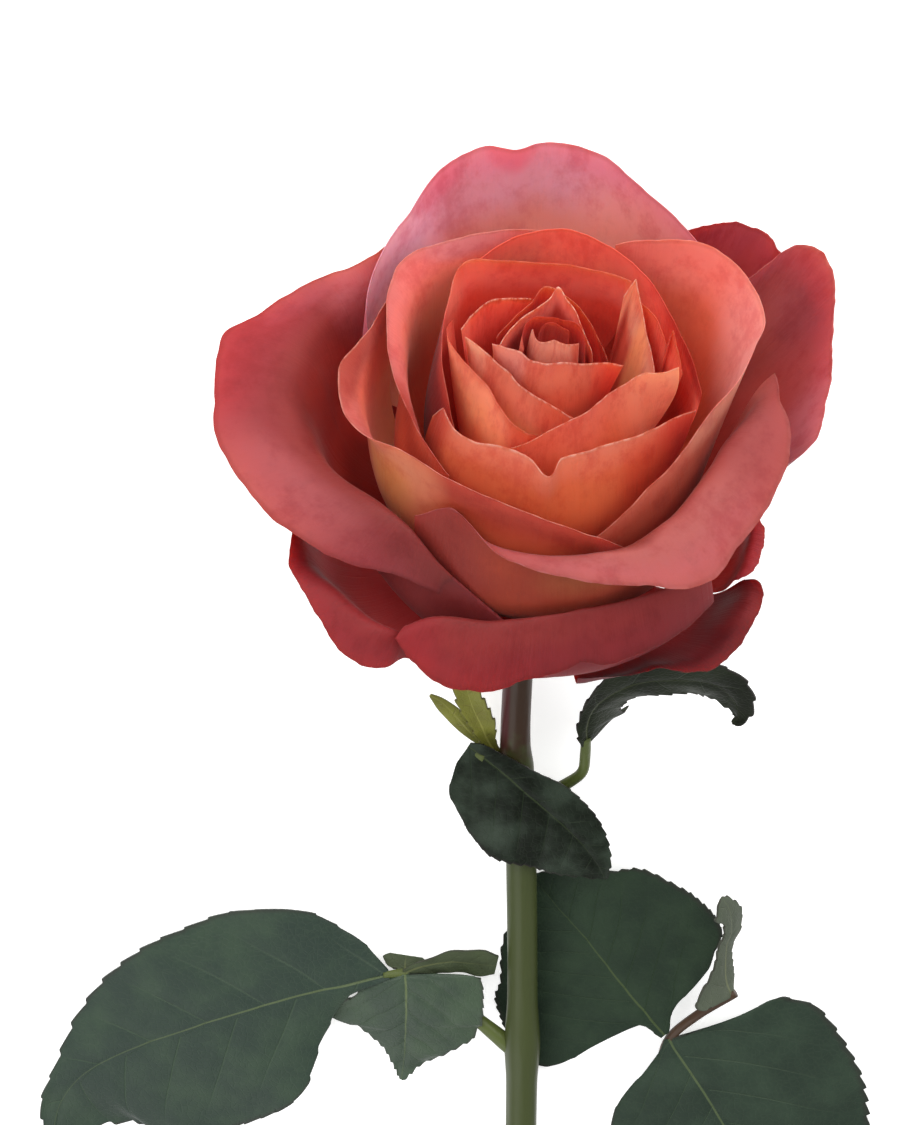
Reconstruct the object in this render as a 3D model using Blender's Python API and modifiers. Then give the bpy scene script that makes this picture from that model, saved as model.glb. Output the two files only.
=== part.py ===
"""A cut rose lying on its side: an open bloom of layered petals, sepals, a stem and serrated leaves.

Metres, +Z up. The stem lies along -Y, and the bloom looks toward +Y and upward. The origin is at the
middle of the bottom of the whole flower's box, on the surface that the flower lies on.
Sizes in the lists below are in millimetres and degrees, as a grower's drawing would give them.
"""
import math
from collections import namedtuple

import bmesh
import bpy
import numpy as np
from mathutils import Matrix, Vector

MM = 0.001

# Driving dimensions
BLOOM_X = 13.44
BLOOM_Y = 79.4
FOOT_HEIGHT = 23.5
BLOOM_RISE = math.radians(29.0)
BLOOM_LEAN = math.radians(5.6)
LEAN_LINE = math.radians(27.0)
PETAL_THICK = 0.66
LEAF_THICK = 0.66
SEPAL_THICK = 0.9
RECEPTACLE_TOP = 6.0
RECEPTACLE_CURVE = 0.055
SEAT_GAP = 0.75
RING_PITCH = 1.0
FIRST_RING = 1.3
HIP_RADIUS = 6.6
CALYX_RADIUS = 11.6
STEM_SIDES_STEP = 3
RACHIS_SIDES_STEP = 2

# A petal: the ring of its foot on the receptacle and the azimuth of its claw there, its belly
# (radius, height), and its rim from one side to the other as (azimuth, radius, height). A rim that
# rolls over adds how far its crest stands in from the rim and how far above it. Azimuth 90 is the side
# of the bloom that faces the table. lean is how far the petal's own centre line, from which its rim is
# measured, stands off the bloom's axis at the top. fill says, for the rim's first and last end, how soon
# above its claw the petal reaches its full width.
PLAIN_FILL = (2.4, 2.4)
Petal = namedtuple("Petal", "name ring claw belly rim segments lean fill",
                   defaults=((0.0, 0.0), PLAIN_FILL))

HEART = (0.3, 2.8)
PETALS = [
    Petal("petal_heart_1", 0.0, 270, (4.7, 42.0), [
        (176, 4.4, 54.5), (180, 3.9, 57.3), (205, 3.4, 56.3), (270, 1.6, 57.0), (325, 3.4, 56.6),
        (352, 4.5, 55.5)], (8, 6), HEART),
    Petal("petal_heart_2", 0.0, 90, (3.4, 44.0), [
        (176, 2.8, 55.5), (150, 2.5, 57.0), (100, 1.5, 57.8), (60, 1.3, 57.6), (20, 2.7, 56.5)],
        (8, 6), HEART),
    Petal("petal_heart_3", 1.0, 100, (6.1, 36.0), [
        (200, 5.5, 54.0), (175, 5.6, 56.0), (150, 5.0, 57.0), (110, 2.8, 57.6), (70, 2.7, 57.5),
        (35, 4.6, 56.6), (5, 5.6, 54.5)], (10, 7), HEART),
    Petal("petal_heart_4", 1.0, 270, (7.4, 30.0), [
        (186, 10.9, 53.5), (195, 9.3, 54.6), (209, 6.6, 54.6), (228, 5.7, 53.9), (248, 5.4, 54.6),
        (295, 4.8, 54.4), (325, 6.7, 53.8), (344, 9.3, 53.0), (355, 12.8, 51.0)], (11, 7), HEART),
    Petal("petal_heart_5", 2.0, 90, (7.9, 30.0), [
        (185, 9.5, 53.0), (167, 8.0, 54.5), (124, 6.3, 56.5), (102, 6.9, 57.6), (91, 8.3, 59.0),
        (78, 7.0, 57.6), (59, 6.6, 56.0), (38, 6.4, 53.0), (12, 7.2, 50.0)], (11, 7), HEART),
    Petal("petal_heart_6", 3.0, 80, (9.4, 30.0), [
        (173, 10.2, 52.0), (150, 8.8, 53.6), (124, 8.4, 55.2), (104, 9.8, 57.0), (83, 9.1, 55.6),
        (61, 9.0, 53.4), (35, 9.3, 50.0), (13, 10.2, 47.0)], (11, 7), HEART),
    Petal("petal_inner_1", 2.0, 240, (11.0, 29.0), [
        (184, 15.0, 50.5), (179, 15.4, 52.0), (190, 12.4, 52.4), (204, 10.4, 51.8), (222, 8.9, 50.8),
        (247, 8.8, 49.6), (277, 10.0, 48.6), (295, 11.9, 47.0)], (11, 7), (0.0, 3.0)),
    Petal("petal_inner_2", 3.4, 148, (12.2, 28.0), [
        (170, 16.5, 51.0), (159, 15.1, 53.0), (143, 13.4, 53.6), (130, 11.3, 53.6), (119, 10.3, 53.4),
        (103, 11.4, 50.0)], (8, 6), (0.0, 3.0)),
    Petal("petal_inner_3", 3.2, 22, (13.8, 28.0), [
        (47, 17.5, 53.0), (47, 20.2, 55.4), (42, 19.8, 52.8), (26, 18.8, 47.8), (8, 19.0, 44.6)],
        (8, 6), (0.0, 2.0)),
    Petal("petal_inner_4", 3.0, 208, (14.4, 27.0), [
        (159, 19.2, 49.0), (171, 19.0, 51.0), (183, 16.9, 50.4), (197, 14.2, 50.0), (215, 12.6, 49.4),
        (235, 13.6, 48.8), (249, 14.4, 47.8), (259, 14.4, 46.6), (265, 13.2, 45.2), (271, 12.4, 43.4)],
        (11, 7), (0.0, 2.0)),
    Petal("petal_inner_5", 3.0, 315, (17.0, 26.0), [
        (251, 16.5, 45.4, 0.0, 0.0), (262, 15.1, 47.0, 0.0, 0.0), (268, 13.9, 47.5, 0.0, 0.0),
        (298, 11.5, 48.6, 0.0, 0.0), (328, 11.7, 49.6, 0.0, 0.0), (346, 13.8, 50.4, 0.0, 0.0),
        (357, 16.8, 51.0, -0.2, -0.4), (359, 20.0, 50.8, -0.6, -1.6), (363, 22.9, 51.0, -1.0, -3.0)],
        (11, 7), (0.0, 1.0), (2.4, 5.0)),
    Petal("petal_inner_6", 4.3, 30, (18.8, 26.0), [
        (50, 22.2, 49.4), (33, 22.0, 50.4), (22, 22.0, 48.4), (25, 23.4, 51.0), (19, 23.6, 48.6),
        (10, 24.0, 46.0)], (10, 7)),
    Petal("petal_inner_7", 4.4, 134, (20.6, 26.0), [
        (211, 18.4, 42.0), (196, 18.2, 45.4), (172, 19.6, 49.0), (149, 22.2, 51.4), (132, 25.2, 53.0),
        (118, 22.4, 53.4), (99, 20.6, 53.0), (77, 21.4, 52.0), (57, 24.0, 50.4)], (13, 7)),
    Petal("petal_inner_8", 4.2, 275, (22.0, 24.0), [
        (201, 21.2, 42.6), (203, 19.6, 45.4), (217, 20.0, 46.2), (231, 19.6, 47.0), (248, 17.6, 47.8),
        (264, 18.2, 47.6), (275, 20.6, 46.2), (282, 17.8, 47.8), (307, 17.8, 48.0), (329, 20.4, 47.6),
        (346, 23.8, 46.8), (355, 26.8, 44.6)], (15, 7)),
    Petal("petal_cup_1", 5.4, 68, (24.2, 24.0), [
        (123, 26.0, 50.0), (106, 28.0, 51.4), (88, 29.2, 51.4), (73, 28.6, 50.4), (57, 27.6, 49.0),
        (39, 26.4, 46.4), (22, 26.8, 43.4), (9, 27.8, 40.0)], (12, 7)),
    Petal("petal_cup_2", 5.2, 163, (25.6, 22.0), [
        (97, 30.4, 49.0, 0.0, 0.0), (125, 31.8, 50.0, 0.6, 0.4), (145, 34.8, 49.0, 2.2, 0.8),
        (153, 33.4, 48.0, 2.4, 0.8), (165, 30.6, 46.6, 2.4, 0.8), (180, 28.0, 45.0, 2.0, 0.8),
        (196, 25.6, 43.4, 1.4, 0.6), (212, 24.2, 41.4, 0.6, 0.4), (228, 23.8, 39.0, 0.0, 0.0)], (13, 7)),
    Petal("petal_cup_3", 5.9, 230, (28.4, 18.8), [
        (150, 34.0, 43.0, 0.0, 0.0), (163, 33.6, 44.0, 0.2, 0.2), (171, 34.8, 44.0, 0.8, 0.6),
        (180, 37.2, 43.4, 1.6, 1.0), (193, 36.8, 42.6, 1.6, 1.0), (201, 34.8, 42.4, 1.0, 0.6),
        (212, 29.4, 42.4, 0.2, 0.0), (232, 26.0, 42.4, 0.0, 0.0), (254, 25.2, 42.2, 0.0, 0.0),
        (279, 27.6, 41.2, 0.0, 0.0), (292, 29.2, 38.2, 0.0, 0.0), (300, 29.2, 34.0, 0.0, 0.0),
        (308, 29.2, 28.5, 0.0, 0.0)], (17, 7)),
    Petal("petal_cup_4", 6.2, 3, (27.0, 19.6), [
        (72, 31.2, 47.6), (62, 34.0, 49.6), (51, 39.0, 50.0), (38, 41.4, 49.2), (24, 41.0, 48.0),
        (17, 38.0, 47.0), (8, 34.4, 46.2), (-8, 28.8, 45.0), (-30, 26.8, 42.6), (-42, 26.8, 42.4),
        (-52, 26.6, 39.0), (-61, 26.4, 35.2), (-68, 26.2, 31.6)], (19, 7)),
    Petal("petal_rolled", 7.1, 303, (31.2, 16.5), [
        (20, 43.0, 34.0, 0.4, 0.4), (11, 42.0, 37.0, 2.0, 1.6), (4, 43.6, 36.4, 5.0, 3.6),
        (-5, 44.2, 35.4, 8.0, 5.4), (-16, 43.8, 34.8, 8.8, 6.4), (-30, 43.2, 34.0, 9.0, 7.0),
        (-43, 44.6, 33.6, 8.8, 7.0), (-52, 42.6, 33.6, 7.4, 6.2), (-58, 39.6, 34.0, 5.6, 5.2),
        (-70, 36.6, 34.2, 4.2, 4.0), (-86, 33.2, 34.4, 2.6, 2.8), (-102, 31.0, 35.2, 1.6, 1.8),
        (-112, 28.8, 36.4, 0.6, 0.6), (-122, 27.6, 37.0, 0.0, 0.0), (-133, 31.2, 33.0, 0.0, 0.0)], (19, 8)),
    Petal("petal_back", 7.0, 93, (33.0, 14.5), [
        (163, 34.0, 38.0), (155, 37.0, 42.4), (142, 40.0, 45.4), (131, 42.6, 47.2), (118, 47.8, 48.0),
        (107, 50.4, 48.0), (101, 49.2, 47.4), (95, 50.6, 48.0), (83, 49.2, 47.6), (71, 44.6, 46.4),
        (57, 42.6, 44.6), (50, 41.4, 42.4), (44, 40.2, 39.0)], (17, 8)),
    Petal("petal_guard_left", 8.0, 190, (34.4, 12.6), [
        (126, 45.0, 38.0, 0.0, 0.0), (137, 43.6, 38.8, 1.0, 0.4), (156, 50.2, 37.6, 3.8, 1.2),
        (164, 55.0, 36.0, 6.4, 2.0), (170, 59.4, 35.0, 9.2, 2.4), (180, 59.2, 33.2, 9.5, 3.4),
        (189, 58.4, 31.6, 10.3, 4.4), (199, 55.4, 30.4, 10.2, 5.3), (211, 50.0, 28.2, 10.2, 7.1),
        (221, 43.8, 24.8, 7.9, 9.0), (228, 38.6, 23.2, 5.2, 9.4), (241, 34.0, 20.0, 1.8, 7.4),
        (255, 33.0, 16.6, 0.8, 5.0), (268, 33.4, 14.6, 0.2, 1.5)], (19, 8)),
    Petal("petal_guard_right", 8.0, 27, (35.6, 12.0), [
        (50, 45.0, 29.5), (46, 49.6, 33.2), (45.2, 52.6, 35.4), (44.8, 56.2, 36.8), (43.6, 60.2, 36.2),
        (41, 63.2, 34.0), (36, 61.4, 32.2), (27, 56.4, 30.4), (16, 52.2, 29.0), (6, 48.8, 27.4),
        (1, 44.0, 25.4), (-2, 41.0, 23.0)], (16, 8)),
    Petal("petal_guard_back", 9.0, 52, (37.8, 9.2), [
        (72, 43.0, 31.0), (63, 50.0, 33.4), (57, 56.0, 33.6), (51, 59.0, 32.0), (46, 58.8, 30.2),
        (32, 58.0, 26.0)], (12, 7)),
    Petal("petal_low_front", 9.0, 282, (36.8, 6.4), [
        (239, 44.0, 15.4, 1.6, 2.0), (243, 44.2, 13.0, 4.4, 6.0), (250, 45.1, 10.4, 6.8, 9.4),
        (262, 43.9, 9.8, 7.6, 10.2), (272, 40.8, 11.0, 6.2, 10.6), (284, 39.0, 12.0, 5.0, 10.8),
        (287, 38.4, 12.6, 5.0, 10.6), (292, 39.4, 12.0, 5.0, 10.8), (303, 40.0, 13.0, 4.4, 10.4),
        (314, 40.8, 14.2, 2.8, 8.6), (324, 41.0, 17.0, 1.0, 4.0)], (18, 8)),
    Petal("petal_low_left", 9.0, 222, (38.4, 5.0), [
        (190, 40.0, 13.0, 0.0, 0.0), (207, 48.0, 20.4, 0.4, 0.4), (213, 50.4, 18.8, 1.0, 1.0),
        (221, 50.0, 15.4, 2.4, 3.0), (229, 50.4, 12.0, 3.4, 5.0), (235, 49.2, 9.8, 3.6, 6.0),
        (239, 46.4, 9.2, 3.2, 5.0), (241, 42.4, 8.6, 1.6, 2.4), (247, 40.6, 7.6, 0.0, 0.0)], (13, 7)),
    Petal("petal_low_right", 9.0, 350, (37.8, 8.4), [
        (-23, 40.6, 12.6, 0.2, 0.2), (-19, 42.6, 13.6, 0.8, 1.0), (-14, 42.5, 15.0, 1.2, 1.2),
        (-10, 41.9, 16.4, 1.0, 1.0), (-8, 40.3, 18.0, 0.6, 0.6), (-5, 39.4, 15.0, 0.2, 0.2),
        (-3, 38.6, 11.0, 0.0, 0.0)], (10, 7)),
    Petal("petal_low_curled", 10.1, 312, (35.6, 1.4), [
        (287, 36.0, 3.9, 0.0, 0.0), (293, 37.4, 4.3, 0.0, 0.0), (300, 38.9, 5.2, 0.0, 0.0),
        (308.5, 40.5, 5.3, 0.2, 0.2), (313, 43.7, 5.2, 0.4, 0.4), (317, 46.1, 5.8, 0.5, 0.6),
        (322, 47.0, 6.8, 0.6, 0.9), (327, 47.0, 8.0, 0.7, 1.2), (333, 46.3, 9.0, 0.8, 1.4),
        (339, 45.2, 9.6, 0.5, 0.8), (341.5, 43.0, 9.5, 0.2, 0.3), (341, 40.8, 8.8, 0.0, 0.0)],
        (13, 7)),
]

# A leaf blade: the stations of its midrib from base to tip, as (x, y, z, width left, width right).
# x and y are from the bloom's foot and z is above the table; left is seen from the base. tilt lifts
# the left side by that many degrees; droop and wave bend the sides down and up.
Blade = namedtuple("Blade", "stations teeth across tilt droop wave")

LEFT_TERMINAL = Blade([
    (-26.2, -101.6, 5.8, 0.7, 0.7), (-29.0, -102.2, 6.1, 1.2, 7.0), (-34.7, -103.6, 6.6, 3.0, 14.0),
    (-39.0, -104.4, 6.9, 8.6, 16.6), (-42.6, -105.2, 7.1, 13.4, 18.0), (-49.1, -107.3, 7.2, 20.6, 19.5),
    (-56.3, -109.8, 7.0, 22.8, 18.9), (-63.5, -112.8, 6.4, 23.2, 18.2), (-70.7, -116.1, 5.4, 22.8, 15.2),
    (-77.9, -120.2, 4.2, 21.2, 10.0), (-83.6, -125.0, 3.0, 17.4, 4.9), (-87.0, -131.0, 1.7, 11.4, 3.4),
    (-88.8, -140.6, 0.6, 0.3, 0.3)], 11, 4, 0.0, 0.08, 0.5)
LEFT_DROOPING = Blade([
    (-23.2, -101.2, 6.4, 0.8, 0.8), (-23.1, -102.4, 6.9, 13.6, 5.4), (-23.0, -106.2, 7.0, 14.0, 9.6),
    (-23.0, -109.5, 6.6, 13.9, 13.2), (-23.1, -111.9, 6.1, 13.4, 14.4), (-23.1, -113.2, 5.8, 12.8, 10.2),
    (-23.2, -115.0, 5.2, 11.6, 7.2), (-23.3, -118.4, 4.2, 7.2, 3.9), (-23.5, -121.2, 3.2, 3.4, 2.1),
    (-23.9, -125.4, 2.2, 0.3, 0.3)], 7, 4, 6.0, 0.10, 0.3)
LEFT_INNER = Blade([
    (-23.4, -100.9, 6.2, 0.7, 0.7), (-20.4, -99.7, 6.2, 1.0, 2.2), (-17.6, -99.1, 6.0, 1.6, 2.5),
    (-14.8, -98.9, 5.7, 2.4, 2.5), (-11.9, -99.4, 5.2, 3.0, 2.5), (-9.1, -100.0, 4.7, 3.1, 2.8),
    (-6.4, -100.4, 4.3, 2.3, 2.3)], 0, 2, 12.0, 0.05, 0.2)
LEFT_BEHIND = Blade([
    (-23.4, -101.6, 5.2, 0.8, 0.8), (-23.2, -100.9, 4.7, 2.2, 1.6), (-23.2, -100.2, 4.3, 3.4, 2.8),
    (-23.1, -99.4, 3.8, 4.2, 4.0), (-23.0, -98.8, 3.4, 3.0, 3.0)],
    0, 2, 0.0, 0.05, 0.0)
RIGHT_UPPER = Blade([
    (24.6, -114.2, 5.8, 0.8, 0.8), (21.9, -111.0, 5.4, 2.4, 7.6), (20.8, -109.6, 5.2, 14.0, 15.8),
    (19.4, -108.0, 4.8, 22.2, 20.6), (16.9, -105.0, 4.0, 24.2, 22.8), (12.1, -98.7, 2.8, 22.8, 22.2),
    (9.2, -94.9, 2.2, 20.2, 19.4), (5.9, -91.2, 1.6, 15.2, 15.2), (2.7, -87.2, 1.0, 8.0, 7.4),
    (-0.2, -83.6, 0.5, 0.3, 0.3)], 11, 4, -7.0, 0.0, 0.3)
RIGHT_LOWER = Blade([
    (25.4, -115.2, 5.4, 0.8, 0.8), (26.2, -117.0, 5.4, 15.6, 2.8), (28.4, -120.6, 5.6, 23.6, 14.0),
    (31.4, -125.4, 6.0, 26.6, 19.6), (35.0, -132.0, 6.0, 27.0, 21.2), (40.0, -142.6, 5.2, 24.2, 20.6),
    (44.4, -152.4, 3.6, 19.2, 16.2), (48.0, -162.0, 2.0, 11.0, 9.6), (51.8, -171.8, 0.6, 0.3, 0.3)],
    12, 4, 0.0, 0.08, 0.5)
RIGHT_FOLDED = Blade([
    (36.7, -104.5, 8.4, 0.7, 0.7), (35.8, -101.6, 9.1, 8.0, 2.4), (35.5, -98.5, 9.8, 4.2, 2.2),
    (35.5, -95.5, 10.5, 2.4, 1.8), (35.7, -92.4, 11.2, 2.0, 2.4), (36.5, -89.5, 11.8, 1.7, 3.0),
    (36.5, -86.8, 12.5, 1.8, 3.2), (36.0, -84.0, 13.1, 3.6, 2.0), (34.7, -81.4, 13.6, 0.4, 0.4)],
    6, 2, 50.0, 0.1, 0.0)
FRONT_BLADE = Blade([
    (-11.6, -52.3, 9.4, 0.8, 4.2), (-10.6, -52.9, 9.8, 1.6, 8.6), (-7.9, -54.7, 10.9, 2.4, 11.1),
    (-4.6, -57.1, 12.0, 3.4, 12.6), (-1.5, -59.9, 12.7, 4.6, 13.6), (1.6, -62.8, 12.9, 5.7, 14.1),
    (4.6, -65.8, 12.8, 5.9, 12.8), (7.4, -68.9, 12.4, 5.5, 10.6), (9.9, -72.3, 11.7, 4.3, 8.6),
    (11.9, -75.8, 10.7, 2.7, 5.6), (13.5, -79.6, 9.6, 0.3, 0.3)], 9, 4, 0.0, 0.07, 0.2)
ARCH_BLADE = Blade([
    (9.8, -50.4, 12.2, 1.0, 1.4), (9.9, -48.7, 13.2, 1.4, 4.0), (9.8, -46.6, 14.2, 1.5, 9.0),
    (10.1, -44.4, 15.0, 1.5, 6.6), (11.5, -40.4, 16.7, 2.2, 5.4), (14.8, -37.0, 18.0, 4.2, 4.6),
    (19.0, -34.8, 18.5, 6.4, 4.7), (24.1, -34.0, 18.8, 6.4, 4.6), (29.3, -34.2, 18.6, 5.8, 4.8),
    (34.0, -36.0, 17.7, 5.0, 5.0), (36.7, -39.9, 16.0, 3.6, 2.8), (37.6, -43.4, 14.6, 1.5, 1.0),
    (36.4, -45.2, 13.8, 0.3, 0.3)], 9, 4, 30.0, 0.1, 0.3)
BRACT_SLENDER = Blade([
    (-7.9, -54.6, 4.8, 0.6, 0.6), (-9.9, -52.6, 6.0, 0.9, 1.0), (-11.8, -49.8, 7.4, 1.4, 1.5),
    (-13.5, -46.8, 9.0, 1.7, 1.5), (-15.2, -44.0, 10.4, 1.7, 1.1), (-17.0, -41.6, 11.6, 1.2, 0.6),
    (-18.5, -40.4, 12.2, 0.3, 0.3)], 0, 2, 0.0, 0.15, 0.0)
BRACT_BROAD = Blade([
    (-7.2, -54.2, 6.2, 0.8, 0.8), (-8.3, -51.6, 7.4, 1.2, 1.6), (-9.2, -48.4, 8.8, 1.6, 2.4),
    (-10.4, -45.0, 10.2, 1.9, 2.6), (-11.3, -41.6, 11.6, 2.2, 2.2), (-12.0, -38.4, 12.9, 2.0, 1.8),
    (-12.8, -34.6, 14.2, 0.5, 0.5)], 5, 2, 0.0, -0.25, 0.0)

# Stalks, as (x, y, z, radius) in the same frame as the blades
LEFT_PETIOLE = [(-7.2, -115.8, 5.4, 1.9), (-9.6, -112.0, 5.0, 1.5), (-16.4, -105.4, 5.2, 1.1),
                (-23.2, -101.2, 5.9, 1.1), (-27.2, -101.4, 6.1, 0.9)]
RIGHT_PETIOLE = [(3.7, -164.4, 4.6, 1.8), (7.2, -155.0, 3.2, 1.3), (12.6, -141.0, 2.4, 1.1),
                 (19.8, -125.0, 3.4, 1.1), (25.0, -114.6, 5.8, 1.1), (30.4, -109.6, 7.0, 1.0),
                 (37.4, -104.2, 8.0, 0.9)]
FRONT_STALK = [(-7.5, -56.8, 6.4, 1.1), (-9.0, -55.0, 7.6, 1.0), (-10.2, -53.9, 9.0, 0.9),
               (-8.6, -54.4, 10.3, 0.8)]
ARCH_STALK = [(2.0, -64.2, 6.4, 1.3), (6.2, -61.2, 7.4, 1.1), (9.2, -57.6, 9.2, 1.0),
              (9.7, -53.2, 10.6, 1.0), (9.8, -48.8, 12.8, 0.9)]

# The stem's centre line below the hip, as (x, y, z, radius); it ends in a plain cut
PEDUNCLE = [(-1.7, -25.0, 12.2, 2.7), (-2.7, -41.0, 8.8, 2.7), (-3.0, -53.0, 7.4, 2.8),
            (-2.8, -57.5, 7.2, 3.2), (-2.3, -63.0, 7.0, 2.8), (-1.8, -82.0, 6.7, 2.8),
            (-1.6, -106.0, 6.3, 2.8), (-1.6, -116.0, 6.1, 3.3), (-1.7, -124.0, 5.9, 2.9),
            (-1.9, -150.0, 5.3, 3.0), (-1.9, -166.0, 4.9, 3.3), (-2.0, -176.0, 4.6, 3.0),
            (-2.3, -225.2, 3.0, 3.15)]
# The hip on the bloom's axis, as (height, radius), from the neck up to the calyx under the petals
HIP = [(-15.5, 2.7), (-13.0, 3.3), (-11.0, 5.2), (-8.4, HIP_RADIUS), (-6.0, 6.4), (-4.6, 6.0), (-3.7, 7.6),
       (-2.8, 10.2), (-2.1, CALYX_RADIUS)]

SEPAL_AZIMUTHS = (18.0, 90.0, 162.0, 234.0, 306.0)
# A sepal's course beside the hip, as (radius, height, half width)
SEPAL_COURSE = [(6.8, -5.4, 2.2), (10.2, -6.2, 3.2), (13.0, -8.6, 3.0), (14.8, -12.6, 2.0),
                (15.2, -18.0, 0.5)]

COLOURS = {
    "petal_heart": (0.72, 0.20, 0.11, 0.62),
    "petal_inner": (0.78, 0.24, 0.11, 0.62),
    "petal_cup": (0.74, 0.19, 0.11, 0.62),
    "petal_outer": (0.55, 0.09, 0.10, 0.65),
    "stem": (0.10, 0.13, 0.03, 0.55),
    "leaf": (0.045, 0.07, 0.04, 0.45),
    "bract": (0.20, 0.24, 0.05, 0.55),
    "sepal": (0.12, 0.17, 0.06, 0.60),
}


def clear_scene():
    for obj in list(bpy.data.objects):
        bpy.data.objects.remove(obj, do_unlink=True)


def collection(name):
    made = bpy.data.collections.new(name)
    bpy.context.scene.collection.children.link(made)
    return made


def material(name):
    red, green, blue, roughness = COLOURS[name]
    made = bpy.data.materials.get(name) or bpy.data.materials.new(name)
    made.use_nodes = True
    shader = made.node_tree.nodes["Principled BSDF"]
    shader.inputs["Base Color"].default_value = (red, green, blue, 1.0)
    shader.inputs["Roughness"].default_value = roughness
    shader.inputs["Metallic"].default_value = 0.0
    return made


def smooth_through(knots, values, x):
    """The value at x of a smooth curve through the values at the knots, flattened at turning values."""
    knots = np.asarray(knots, float)
    values = np.asarray(values, float)
    steps = np.diff(knots)
    slopes = np.diff(values, axis=0) / steps[:, None]
    tangents = np.empty_like(values)
    tangents[0] = slopes[0]
    tangents[-1] = slopes[-1]
    for i in range(1, len(knots) - 1):
        mean = (slopes[i - 1] * steps[i] + slopes[i] * steps[i - 1]) / (steps[i - 1] + steps[i])
        turning = slopes[i - 1] * slopes[i] <= 0.0
        limit = 3.0 * np.minimum(abs(slopes[i - 1]), abs(slopes[i]))
        tangents[i] = np.where(turning, 0.35 * mean, np.clip(mean, -limit, limit))
    k = int(np.clip(np.searchsorted(knots, x) - 1, 0, len(knots) - 2))
    t = (x - knots[k]) / steps[k]
    return (values[k] * (2 * t**3 - 3 * t**2 + 1) + values[k + 1] * (3 * t**2 - 2 * t**3)
            + steps[k] * (tangents[k] * (t**3 - 2 * t**2 + t) + tangents[k + 1] * (t**3 - t**2)))


def shares_along(points):
    """The share of the whole length at which each point of a line lies."""
    points = np.asarray(points, float)
    lengths = np.linalg.norm(np.diff(points, axis=0), axis=1)
    return np.concatenate([[0.0], np.cumsum(lengths)]) / lengths.sum()


def free_curve(points, share):
    """A smooth curve through a petal's few profile points, free to bulge between them."""
    points = np.asarray(points, float)
    knots = np.concatenate([[0.0], np.cumsum(np.linalg.norm(np.diff(points, axis=0), axis=1) ** 0.75)])
    steps = np.diff(knots)
    slopes = np.diff(points, axis=0) / steps[:, None]
    tangents = np.empty_like(points)
    for i in range(1, len(points) - 1):
        tangents[i] = (slopes[i - 1] * steps[i] + slopes[i] * steps[i - 1]) / (steps[i - 1] + steps[i])
    tangents[0] = 1.5 * slopes[0] - 0.5 * tangents[1]
    tangents[-1] = 1.5 * slopes[-1] - 0.5 * tangents[-2]
    x = share * knots[-1]
    k = int(np.clip(np.searchsorted(knots, x) - 1, 0, len(points) - 2))
    t = (x - knots[k]) / steps[k]
    return (points[k] * (2 * t**3 - 3 * t**2 + 1) + points[k + 1] * (3 * t**2 - 2 * t**3)
            + steps[k] * (tangents[k] * (t**3 - 2 * t**2 + t) + tangents[k + 1] * (t**3 - t**2)))


def bloom_matrix():
    """Turns a point from the bloom's frame, in mm about its foot, to the table's frame, in metres."""
    sine, cosine = math.sin(BLOOM_RISE), math.cos(BLOOM_RISE)
    lying = Matrix(((1, 0, 0), (0, sine, cosine), (0, -cosine, sine)))
    lean_axis = Vector((0.0, math.sin(LEAN_LINE), math.cos(LEAN_LINE)))
    turn = Matrix.Rotation(-BLOOM_LEAN, 3, lean_axis) @ lying
    foot = Matrix.Translation(Vector((BLOOM_X, BLOOM_Y, FOOT_HEIGHT)) * MM)
    return foot @ turn.to_4x4() @ Matrix.Scale(MM, 4)


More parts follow.
